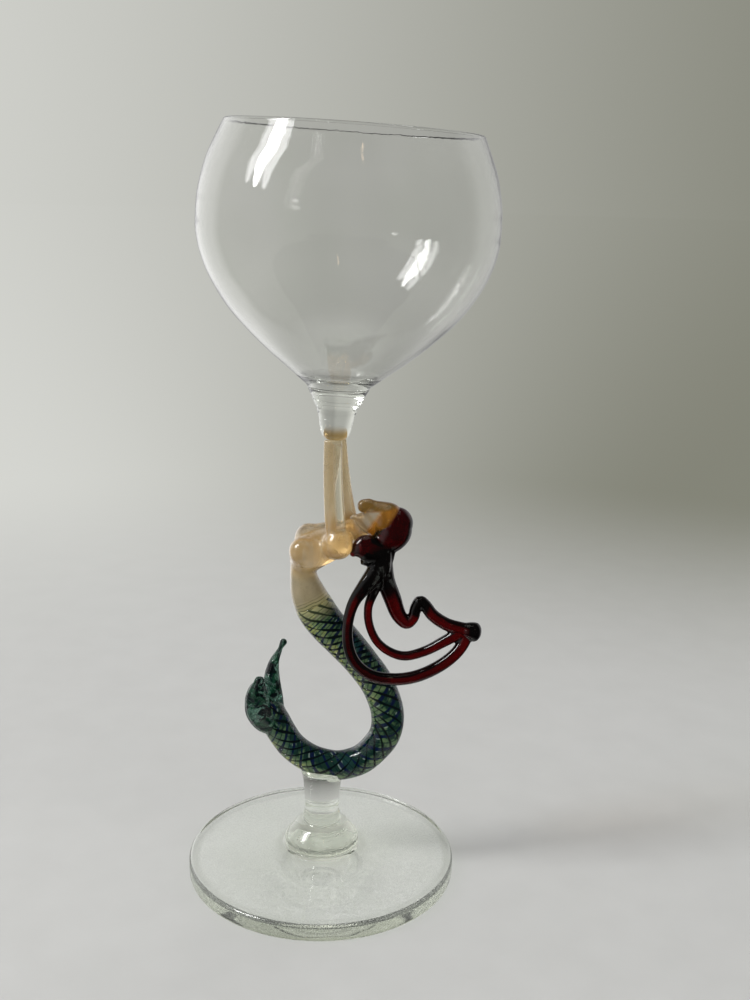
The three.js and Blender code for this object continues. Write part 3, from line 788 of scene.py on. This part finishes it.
def casing_finish(colours):
    """Clear casing over the tail's core."""
    f = Finish("casing_finish")
    waves = f.noise(130.0, 1.0)
    tint = f.layered((0.93, 0.96, 0.95), (waves, (0.97, 0.98, 0.97)))
    return f.glass(
        tint, 0.008, 1.0, f.bump(waves, 0.2, 0.0005), (0.95, 0.97, 0.96), **{"Specular IOR Level": 0.35}
    )


def fin_finish(colours):
    """Dark teal glass pulled in long folded streaks, with paler veins between them."""
    f = Finish("fin_finish")
    swirl = f.noise(160.0, 1.0, 2.0, output="Color")
    bent = f.node("Mapping", {"Vector": swirl, "Scale": (0.55, 0.55, 0.0)}).outputs[0]
    wrap = f.node("UVMap", uv_map="Wrap").outputs[0]
    moved = f.node("VectorMath", {0: wrap, 1: bent}, operation="ADD").outputs["Vector"]
    folds = f.node("Mapping", {"Vector": moved, "Scale": (5.0, 1.2, 1.0)}).outputs[0]
    streak = f.noise(1.9, 2.0, 0.6, folds)
    veins = f.ramp(streak, 0.54, 0.58)
    tint = f.layered(
        (0.001, 0.010, 0.011),
        (f.ramp(streak, 0.38, 0.50), (0.006, 0.060, 0.026)),
        (f.ramp(f.noise(260.0, 1.0, 0.5), 0.50, 0.56), (0.001, 0.004, 0.005)),
        (veins, (0.28, 0.52, 0.42)),
    )
    relief = f.bump(streak, 0.7, 0.0009)
    return f.glass(tint, f.times(streak, 0.02), f.line(veins, 0.5, 0.4), relief, (0.12, 0.26, 0.22))


# Operators: one for the stage and one for each group of pieces.


class GOBLET_OT_stage(Operator):
    """Adds the pale floor, the soft lamps and the camera"""

    bl_idname = "goblet.stage"
    bl_label = "Stage"

    def execute(self, context):
        light = context.scene.goblet_light
        self.floor()
        self.world(light.surroundings)
        self.lamp("window", (-0.65, -0.20, 0.68), (0.14, 0.54), light.window * 0.7)
        self.lamp("window_left", (-0.620, -0.30, 0.68), (0.13, 0.52), light.window * 0.13)
        self.lamp("window_right", (-0.680, -0.10, 0.68), (0.13, 0.52), light.window * 0.11)
        self.lamp("bulb", (0.146, -0.632, 0.808), (0.018, 0.17), light.bulb * 0.8, tint=(1.0, 0.72, 0.45))
        self.lamp("pane", (-0.525, -0.687, 0.42), (0.09, 0.07), light.bulb * 1.6)
        self.lamp("fill", (0.75, -0.55, 0.45), (0.7, 0.7), light.fill, mirrored=False)
        self.lamp("rim", (0.45, 0.75, 0.60), (0.5, 0.35), light.rim, mirrored=False)
        self.camera(context.scene)
        context.scene.view_settings.view_transform = "Standard"
        cycles = context.scene.cycles
        cycles.max_bounces = cycles.transmission_bounces = cycles.transparent_max_bounces = BOUNCES
        cycles.caustics_refractive = cycles.caustics_reflective = False
        return {"FINISHED"}

    def floor(self):
        """A disc in rings: x = r cos a, y = r sin a. Far off it shows what the world shows."""
        radius, top, under = np.linspace(0, FLOOR_RADIUS, 60)[1:], -0.2, -4
        outline = [(0, top), *[(r, top) for r in radius], (radius[-1], under), (0, under)]
        mesh = mesh_from("studio_floor", [turned(outline[::-1], 96)])
        f = Finish("pale_floor")
        tint = f.layered((0.50, 0.50, 0.485), (f.noise(60.0, 4.0), (0.55, 0.55, 0.535)))
        body = f.node("BsdfPrincipled", {"Base Color": tint, "Roughness": 0.6, "Specular IOR Level": 0.2})
        reach = f.node("VectorMath", {0: f.spots["Object"]}, operation="LENGTH").outputs["Value"]
        x, y = (f.maths("DIVIDE", part, reach) for part in f.parts()[:2])
        glossy = f.node("LightPath").outputs["Is Glossy Ray"]
        # For gloss the near floor shows the surroundings dimmed by up to 0.65: a painted darker reflection.
        strength = f.line(f.times(f.less(f.ramp(reach, 0.08, 0.28)), glossy), -0.65, 1.0)
        far = f.node("Emission", {"Color": self.surroundings(f, x, y, 0.0, 0.45), "Strength": strength})
        share = f.most(f.ramp(reach, 0.13, 0.55), f.times(f.ramp(reach, 0.03, 0.11), glossy))
        mix = f.node("MixShader", {0: share, 1: body.outputs[0], 2: far.outputs[0]})
        f.node("OutputMaterial", {"Surface": mix.outputs[0]})
        mesh.materials.append(f.material)
        floor = bpy.data.objects.new("studio_floor", mesh)
        bpy.context.scene.collection.objects.link(floor)

    def world(self, strength):
        """Pale behind and on the left, darker in front, at the sides and overhead, as in a room with one window."""
        f = Finish("studio", bpy.data.worlds.new("studio"))
        bpy.context.scene.world = f.material
        seen = self.surroundings(f, *f.parts(f.spots["Generated"]), strength)
        room = f.node("Background", {"Color": seen, "Strength": 1.0})
        f.node("OutputWorld", {"Surface": room.outputs[0]})

    def lamp(self, name, place, size, power, mirrored=True, tint=(1.0, 1.0, 1.0)):
        """A soft oval lamp that faces the goblet. Glass shows it only if it is mirrored."""
        data = bpy.data.lights.new(name, "AREA")
        data.color = tint
        data.shape, data.size, data.size_y, data.energy = "ELLIPSE", size[0], size[1], power
        lamp = bpy.data.objects.new(name, data)
        lamp.location = place
        goblet_middle = Vector((0.005, 0, 0.13))
        lamp.rotation_euler = (goblet_middle - Vector(place)).to_track_quat("-Z", "Y").to_euler()
        lamp.visible_camera = False
        lamp.visible_glossy = lamp.visible_transmission = mirrored
        bpy.context.scene.collection.objects.link(lamp)

    def camera(self, scene):
        """The photograph's place, tilt and roll."""
        data = bpy.data.cameras.new("photo_camera")
        data.lens, data.sensor_width = 43.2, 36.0
        data.clip_start, data.clip_end = 0.01, 20.0
        camera = bpy.data.objects.new("photo_camera", data)
        tilt, roll = math.radians(90 - 14.82), math.radians(1.30)
        turn = Matrix.Rotation(tilt, 4, "X") @ Matrix.Rotation(roll, 4, "Z")
        camera.matrix_world = Matrix.Translation((0.0144, -0.3374, 0.2083)) @ turn
        scene.collection.objects.link(camera)
        scene.camera = camera

    def surroundings(self, f, x, y, z, lit):
        """What a ray that goes (x, y, z) meets: apart for the eye, through glass, off gloss and for the rest."""
        path = f.node("LightPath").outputs
        left = f.times(x, -1.0)
        panes = f.most(f.times(f.ramp(left, 0.12, 0.5), 1.4), f.times(f.ramp(x, 0.12, 0.5), 0.6))
        sides = f.times(f.most(panes, 0.4), f.ramp(y, 0.15, 0.5))
        window = f.times(f.ramp(left, 0.4, 0.9), 0.5)
        mirrored = f.line(f.most(sides, window), f.less(f.ramp(z, 0.3, 0.85)), 0.05)
        across = f.line(f.ramp(x, 0.4, 0.85), 0.16, f.line(f.ramp(left, 0.3, 0.8), 0.34, 0.41))
        over = f.line(f.ramp(z, 0.15, 0.8), 0.22, across)
        through = f.times(over, f.line(f.ramp(y, -0.6, 0.1), 0.2, 0.8))
        dimmer = f.maths("SUBTRACT", f.ramp(x, -0.04, 0.12), f.ramp(x, 0.3, 0.6))
        shaded = f.times(through, f.line(dimmer, -0.2, 1.01))
        glassy = f.layered((0.0, 0.0, 0.0), (shaded, (0.995, 1.0, 0.925)))
        # The backdrop is painted darker towards the right, away from the window, and paler again further round.
        fall = f.line(f.ramp(x, 0.5, 0.95), -0.5, f.ramp(x, -0.5, 0.45))
        wall = f.layered((0.665, 0.67, 0.635), (fall, (0.23, 0.232, 0.188)))
        return f.layered(
            (lit, lit, lit), (path["Is Glossy Ray"], mirrored), (path["Is Transmission Ray"], glassy),
            (path["Is Camera Ray"], wall),
        )


class GOBLET_OT_foot(Operator):
    """Makes the foot, its button and the post as one piece of clear glass"""

    bl_idname = "goblet.foot"
    bl_label = "Foot, button and post"

    def execute(self, context):
        sizes = context.scene.goblet_foot
        radius, edge, bend, button = (
            value / MM for value in (sizes.radius, sizes.edge, sizes.edge_round, sizes.button_radius)
        )
        turn = np.linspace(0, math.pi / 2, 9)
        under = [(radius - BEVEL + BEVEL * math.sin(a), BEVEL - BEVEL * math.cos(a)) for a in turn]
        over = [(radius - bend * (1 - math.cos(a)), edge - bend * (1 - math.sin(a))) for a in turn]
        inwards = np.linspace(0, 1, 40)[1:]
        top = [((radius - bend) * (1 - t) + (button + 0.9) * t, edge + (SEAT - edge) * t**2) for t in inwards]
        shares = [(1.06, 0), (0.99, 0.06), *BUTTON_SHARES[1:-1], (0.52, 0.96)]
        dome = smoothed(shares, 60) * (button, POST - SEAT) + (0, SEAT)
        outline = [(0, 0), *[(r, 0) for r in np.linspace(2, radius - 1, 20)], *under, *over, *top, *dome[1:]]
        post = smoothed(POST_SHARES, 56) * (1, POST_HEIGHT) + (0, POST + 0.4)
        cap = [
            (6.5 * math.cos(a), POST_HEIGHT - 0.1 + POST + 0.9 * math.sin(a)) for a in np.linspace(0, 1.45, 40)
        ]
        shape = turned([*outline, *post, *cap[1:], (0, cap[-1][1])], 128)
        self.saddle(shape.points)
        mesh = mesh_from("foot_and_post", [shape])
        add_piece("foot_and_post", mesh, foot_finish, "clear_glass", "foot", "button", "post")
        return {"FINISHED"}

    def saddle(self, points):
        """Lowers the post's top to the underside of the tail: z = middle - root(radius^2 - y^2)."""
        knot, place = Route(BODY).at(np.linspace(0.4, 0.9, 400))[:2]
        local = smooth_values(np.asarray(BODY_GIRTH) * BODY_RADIUS, knot) + 0.06
        order = np.argsort(place[:, 0])
        order = order[((np.abs(place[:, 0]) < 14) & (place[:, 2] < 45))[order]]
        top = points[:, 2] > POST + 8
        x, y = points[top, 0], points[top, 1]
        middle = np.interp(x, place[order, 0], place[order, 2])
        girth = np.interp(x, place[order, 0], local[order])
        under = middle - np.sqrt(np.maximum(girth**2 - y**2, 0))
        points[top, 2] = np.minimum(points[top, 2], np.where(np.abs(y) < girth, under, 1e9))


class GOBLET_OT_bowl(Operator):
    """Makes the cup, the collar and the bowl as one piece of clear glass, and the amber hands inside it"""

    bl_idname = "goblet.bowl"
    bl_label = "Bowl, collar and cup"

    def execute(self, context):
        sizes = context.scene.goblet_bowl
        radius, height, wall, base = (
            value / MM for value in (sizes.radius, sizes.height, sizes.wall, sizes.base_radius)
        )
        outer = smoothed([(base / radius, 0), *BOWL_SHARES], 150) * (radius, height - 0.04)
        way = unit(np.gradient(outer, axis=0))
        inner = outer + np.stack([-way[:, 1], way[:, 0]], 1) * wall
        middle, half = (outer[-1] + inner[-1]) / 2, (outer[-1] - inner[-1]) / 2
        turn = np.linspace(0, math.pi, 14)[1:-1]
        rim = [(middle + half * math.cos(a) + np.array([-half[1], half[0]]) * math.sin(a)) for a in turn]
        inside = inner[(inner[:, 1] > 3.4) & (inner[:, 0] > 0)][::-1]
        (r, z), base_thickness = inside[-1], 2.5
        floor = [(r * t, base_thickness + (z - base_thickness) * t**3) for t in np.linspace(1, 0, 16)[1:]]
        outer[:, 0] = np.minimum(outer[:, 0], 41.78 - 0.05 * np.maximum(outer[:, 1] - 46.6, 0))
        cup = smoothed([(2.9 + 4.4 * swell, CUP_HEIGHT * share) for share, swell in CUP_SHARES], 50)
        start = [(0, 0), *[(2.6 * t, 0) for t in (0.3, 0.6, 0.85)], (2.75, 0.02)]
        outline = [*start, *cup[1:], *smoothed(COLLAR, 40)]
        outline += [(r, z + BOWL_SEAT) for r, z in (*outer[1:], *rim, *inside, *floor)]
        mesh = mesh_from("bowl_and_cup", [turned(outline, 192, TOP)])
        add_piece("bowl_and_cup", mesh, clear_finish, "clear_glass", "bowl", "bowl_collar", "stem_cup")
        mesh = mesh_from("hands", [turned(smoothed(HANDS, 40), 48, TOP)])
        add_piece("hands", mesh, hand_finish, "amber_glass", "hands")
        return {"FINISHED"}


class GOBLET_OT_torso(Operator):
    """Fuses the arms, shoulders, chest, breasts and neck, with the waist below them"""

    bl_idname = "goblet.torso"
    bl_label = "Torso and arms"

    def execute(self, context):
        sizes = context.scene.goblet_figure
        shapes = [
            rod(BODY, BODY_GIRTH, BODY_RADIUS, ends=(1.0, 0.2), reach=(0.0, WAIST_END + 0.04), sides=48),
            rod(CHEST, [1.14, 1.14, 1.06, 0.98, 0.72], 4.5, depth=1.3, grown=0.15),
            rod(COLLAR_BONE, [1, 1, 1, 1], 3.3),
            *[rod(arm, ARM_GIRTH, 3.0, depth=0.64, ends=(1, 0), grown=0.2) for arm in (LEFT_ARM, RIGHT_ARM)],
            rod(NECK, [1.2, 1.25, 1.15], 2.7, grown=0.2),
            *[lobe(centre, 4.45) for centre in BREASTS],
            lobe(SHOULDERS[0], 4.55),
            lobe(SHOULDERS[1], 3.8),
        ]
        mesh = fused_mesh("torso", shapes, sizes.grain, sizes.softness * 5)
        x, _, z = corners_of(mesh).T
        relax_mesh(mesh, np.clip((3.0 - x) / 4, 0.3, 1) * falls(z, 111.5, 2.5) * rises(z, 96, 4), 130)
        _, place, way = Route(BODY).at(np.array([0.012, WAIST_END]))[:3]
        torso = cut_mesh(mesh, "arms_and_chest", place[0], -way[0])
        below = cut_mesh(mesh, "waist_top", place[0] + way[0] * 0.03, way[0])
        lower = cut_mesh(below, "waist", place[1] - way[1] * 0.03, -way[1])
        x, y, z = corners_of(torso).T
        mark(torso, "strip", self.strip(x, y, z))
        # A painted pool of light, where light shines through the chest.
        mark(torso, "lit_through", np.exp(-(((x + 3.3) / 3.2) ** 2) - ((z - 102.6) / 3.6) ** 2))
        mark(torso, "far", rises(y, 1.5, 2) * rises(z, 112, 3))
        corners = corners_of(lower)
        mark(lower, "warm", np.clip(1.2 - ((corners - place[0]) @ way[0]) / 4.5, 0, 1))
        mark(lower, "above_tail", (place[1] - corners) @ way[1])
        add_piece(
            "arms_and_chest", torso, flesh_finish, "flesh_glass", "left_arm", "right_arm", "left_shoulder",
            "right_shoulder", "left_breast", "right_breast", "chest", "neck",
        )
        add_piece("waist", lower, torso_finish, "torso_glass", "waist")
        return {"FINISHED"}

    def strip(self, x, y, z):
        """Near 1 where the glass is clear: a band down the near arm, the throat and the top of the far breast."""
        points = placed(LEFT_ARM)
        off, away = (value - np.interp(z, points[:, 2], points[:, k]) for k, value in enumerate((x, y)))
        side = rises(off, 0.1, 0.5) * falls(off, 2.8, 0.5)
        band = side * rises(z, 111.5, 2) * falls(z, 136.5, 1.5) * (np.abs(away) < 3.2)
        throat = np.clip(0.79 * (x - 7.5) + 0.61 * (z - 114.7) + 0.6, 0, 1) * rises(x, 6.9, 0.6)
        far = rises(y, 0.5, 2) * falls(x, 4, 2) * rises(z, 106, 1.5)
        return np.maximum(np.maximum(band, throat), 0.75 * far)


class GOBLET_OT_head(Operator):
    """Makes the upturned head, smooth and without features"""

    bl_idname = "goblet.head"
    bl_label = "Head"

    def execute(self, context):
        sizes = context.scene.goblet_figure
        shapes = [
            rod(HEAD, HEAD_GIRTH, 4.9, depth=0.92),
            rod(THROAT, [0.36, 0.86, 1.25], 3.4, depth=0.8),
            lobe((106, -27, 822), 2.1, (1.0, 0.9, 1.0)),
        ]
        mesh = fused_mesh("head", shapes, sizes.grain, sizes.softness * 5)
        x, _, z = corners_of(mesh).T
        above = z - 115.2 - 0.2 * (x - 7.3)
        mark(mesh, "ruby", np.clip((x - 15.9 - 0.72 * (z - 109.3) + 2.4) / 3.6, 0, 1))
        mark(mesh, "pale", falls(x, 11.9 + 0.62 * (z - 109.3), 1.3) * falls(above, 0.6, 0.6))
        mark(mesh, "brow", rises(above, -0.1, 0.9))
        add_piece("head", mesh, amber_finish, "amber_glass", "head")
        return {"FINISHED"}


def twist(turn, share):
    """Nine ridges wound round the fall: 1 + 0.06 cos(9 turns + windings along)."""
    return 1 + 0.06 * np.cos(2 * math.pi * (9 * turn + WINDINGS * share))


# Strands of hair: path, girth, radius, ridges where its sides are marked, and settings of its rod.
STRANDS = (
    (CROWN, CROWN_GIRTH, 5.2, 3, {"depth": 0.98}),
    (LOCK, LOCK_GIRTH, 2.5, 0, {"depth": 0.7}),
    (LOCK_ROOT, [0.7, 1, 1, 0.8], 1.7, None, {}),
    (FALL, FALL_GIRTH, 3.9, 9, {"ripple": twist}),
    (KNOT, KNOT_GIRTH, 2.9, None, {"ends": (1.0, 0.72)}),
    (BACK_STRAND, BACK_GIRTH, 2.7, 2, {}),
    (FRONT_STRAND, FRONT_GIRTH, 1.6, 2, {"grown": 0.15}),
    (MIDDLE_STRAND, MIDDLE_GIRTH, 1.3, 2, {"grown": 0.12}),
)


class GOBLET_OT_hair(Operator):
    """Fuses the crown, the lock, the fall, the three strands and their knot"""

    bl_idname = "goblet.hair"
    bl_label = "Hair"

    def execute(self, context):
        sizes = context.scene.goblet_figure
        shapes = [rod(path, girth, radius, **settings) for path, girth, radius, _, settings in STRANDS]
        mesh = fused_mesh("hair", shapes, sizes.grain, sizes.softness)
        corners = corners_of(mesh)
        fall, knot, hump = (
            np.linalg.norm((corners - middle) / size, axis=1)
            for middle, size in (
                ((16.2, -5.0, 100.5), (7.0, 8.0, 8.5)),
                ((45.0, -5.9, 81.0), (2.9, 3.2, 3.2)),
                ((28.0, -4.0, 88.5), (3.0, 3.5, 3.5)),
            )
        )
        gathered = np.clip(1.6 - np.minimum(np.minimum(fall, knot), hump), 0, 1)
        off, crest = self.sides_of(corners)
        x, _, z = corners.T
        # Dark is partly painted shade down the strands' sides, partly the deep colour of thick ruby where hair
        # gathers.
        dark = np.maximum(gathered, rises(off, 0.35, 0.5)) + 0.42 * falls(x, 13.0, 3) * falls(z, 98, 4)
        edge = 0.788 * (x - 7.2) - 0.616 * (z - 104.8)
        ruby = falls(edge, 3.6, 1.6) * rises(z, 100.5, 1.5) * falls(z, 112, 2)
        mark(mesh, "dark", np.where(x < 13.5, dark * (1 - ruby), dark))
        # The streak is a painted grey sheen along the crests of the ridges.
        mark(mesh, "streak", rises(crest, 0.86, 0.1) * falls(fall, 1.1, 0.2))
        add_piece(
            "hair", mesh, ruby_finish, "ruby_glass", "hair_crown", "hair_fall", "hair_lock", "hair_knot",
            "hair_strand_back", "hair_strand_front", "hair_strand_middle",
        )
        return {"FINISHED"}

    def sides_of(self, corners):
        """Each corner's distance across the nearest strand, as a share of its radius, and the cos of its ridges."""
        nearest, off, crest = np.full(len(corners), 1e9), np.zeros(len(corners)), np.zeros(len(corners))
        share, rows = np.linspace(0, 1, 120), 20000
        for path, girth, radius, ridges, _ in STRANDS:
            if ridges is None:
                continue
            knot, place, _, side, across = Route(path).at(share)
            local = smooth_values(np.asarray(girth) * radius, knot)
            for start in range(0, len(corners), rows):
                part = slice(start, start + rows)
                away = corners[part, None] - place[None]
                distance = np.linalg.norm(away, axis=2) / local
                best = distance.argmin(1)
                pick = np.arange(len(best)), best
                u, v = (away[pick] * across[best]).sum(1), (away[pick] * side[best]).sum(1)
                wave = np.cos(ridges * np.arctan2(u, v) + 2 * math.pi * WINDINGS * share[best])
                closer = distance[pick] < nearest[part]
                off[part] = np.where(closer, np.abs(u) / local[best], off[part])
                crest[part] = np.where(closer, wave if ridges else 0.0, crest[part])
                nearest[part] = np.minimum(nearest[part], distance[pick])
        return off, crest


class GOBLET_OT_tail(Operator):
    """Makes the curled tail as a threaded core inside a clear casing"""

    bl_idname = "goblet.tail"
    bl_label = "Tail"

    def execute(self, context):
        shared = {"ends": (0.0, 1.0), "sides": 64, "step": 0.3}
        casing = rod(BODY, BODY_GIRTH, BODY_RADIUS, reach=(WAIST_END, 1.0), **shared)
        add_piece("tail_casing", mesh_from("tail_casing", [casing]), casing_finish, "clear_glass", "tail")
        core = rod(
            BODY, BODY_GIRTH, BODY_RADIUS, reach=(WAIST_END + 0.001, 0.995), ripple=self.slim,
            offset=self.outwards, **shared,
        )
        mesh = mesh_from("tail_core", [core])
        corners, normal = corners_of(mesh), vectors_of(mesh, "normal")
        along = np.concatenate([np.repeat(core.along, shared["sides"]), core.along[[0, -1]]])
        route = Route(BODY)
        share = along * 10 / route.length
        # Painted light and shade on the core: brighter facing down and outwards, higher up and at the tip, darker
        # in a hook band.
        facing = normal @ np.array([-0.2, 0.0, -0.93]) + 0.3 * np.abs(normal[:, 1])
        upper = rises(corners[:, 2], 52, 14)
        tip = rises(share, 0.78, 0.1)
        painted_hook_shade = 0.3 * np.exp(-(((share - 0.7) / 0.05) ** 2)) * falls(facing, 0.8, 0.3)
        mark(mesh, "painted_light_and_shade", -0.80 + 0.92 * facing + 0.46 * upper + 0.42 * tip - painted_hook_shade)
        mark(mesh, "fine_wide", 0.45 + 0.25 * np.interp(share, *zip(*FINE_CROWDING)))
        mark(mesh, "fine_passed", self.passed(along, route, FINE_CROWDING))
        mark(mesh, "broad_passed", self.passed(along, route, BROAD_CROWDING))
        _, place, way = route.at(np.array([WAIST_END]))[:3]
        mark(mesh, "start", np.clip(((corners - place[0]) @ way[0]) / 4.5 - 0.1, 0, 1))
        add_piece("tail_core", mesh, scale_finish, "scale_glass", "tail")
        return {"FINISHED"}

    def slim(self, turn, share):
        """Core radius as a share of the casing's: nearly all at the waist, then 0.92, and 0.8 in the hook."""
        return 0.92 + 0.06 * falls(share, WAIST_END + 0.03, 0.03) - 0.12 * rises(share, 0.72, 0.2) + 0 * turn

    def outwards(self, share):
        """Shift towards the outer side of the hook, up to 0.7 mm."""
        return 0.7 * rises(share, 0.72, 0.2)

    def passed(self, along, route, crowding):
        """Threads passed up to each place along the tail: the running sum of threads per centimetre."""
        at = np.linspace(0, route.length / 10, 600)
        rate = np.interp(at / at[-1], *zip(*crowding))
        total = np.concatenate([[0], np.cumsum((rate[1:] + rate[:-1]) / 2 * np.diff(at))])
        return np.interp(along, at, total)


class GOBLET_OT_fins(Operator):
    """Makes the two flukes of the tail fin"""

    bl_idname = "goblet.fins"
    bl_label = "Tail fins"

    def execute(self, context):
        for name, path, girth, radius, ripple in (
            ("tail_fin_upright", UPRIGHT_FLUKE, UPRIGHT_GIRTH, 3.0, None),
            ("tail_fin_round", ROUND_FLUKE, ROUND_GIRTH, 3.8, self.folds),
        ):
            fluke = rod(path, girth, radius, depth=0.72, sides=48, step=0.25, ripple=ripple)
            add_piece(name, mesh_from(name, [fluke]), fin_finish, "fin_glass", name)
        return {"FINISHED"}

    def folds(self, turn, share):
        """Shallow folds that run along the fluke and turn slowly: 1 + 0.07 cos(7 turns + windings)."""
        return 1 + 0.07 * np.cos(2 * math.pi * (7 * turn + 0.8 * share))


class GOBLET_PT_panel(Panel):
    """Lists the goblet's pieces"""

    bl_idname = "GOBLET_PT_panel"
    bl_label = "Mermaid goblet"
    bl_space_type = "VIEW_3D"
    bl_region_type = "UI"
    bl_category = "Goblet"

    def draw(self, context):
        for operator in OPERATORS:
            self.layout.operator(operator.bl_idname)
        for group in SETTINGS:
            box = self.layout.box()
            settings = getattr(context.scene, group)
            for name in settings.__annotations__:
                box.prop(settings, name)


OPERATORS = (
    GOBLET_OT_stage, GOBLET_OT_foot, GOBLET_OT_bowl, GOBLET_OT_torso, GOBLET_OT_head, GOBLET_OT_hair,
    GOBLET_OT_tail, GOBLET_OT_fins,
)
SETTINGS = {
    "goblet_colours": GlassColours,
    "goblet_bowl": BowlSizes,
    "goblet_foot": FootSizes,
    "goblet_figure": FigureSizes,
    "goblet_tail": TailPattern,
    "goblet_light": StudioLight,
}
CLASSES = (*SETTINGS.values(), *OPERATORS, GOBLET_PT_panel)


def register():
    for item in CLASSES:
        bpy.utils.register_class(item)
    for name, group in SETTINGS.items():
        setattr(bpy.types.Scene, name, PointerProperty(type=group))


def unregister():
    for name in SETTINGS:
        delattr(bpy.types.Scene, name)
    for item in reversed(CLASSES):
        bpy.utils.unregister_class(item)


def main():
    register()
    for operator in OPERATORS:
        group, name = operator.bl_idname.split(".")
        getattr(getattr(bpy.ops, group), name)()


if __name__ == "__main__":
    main()
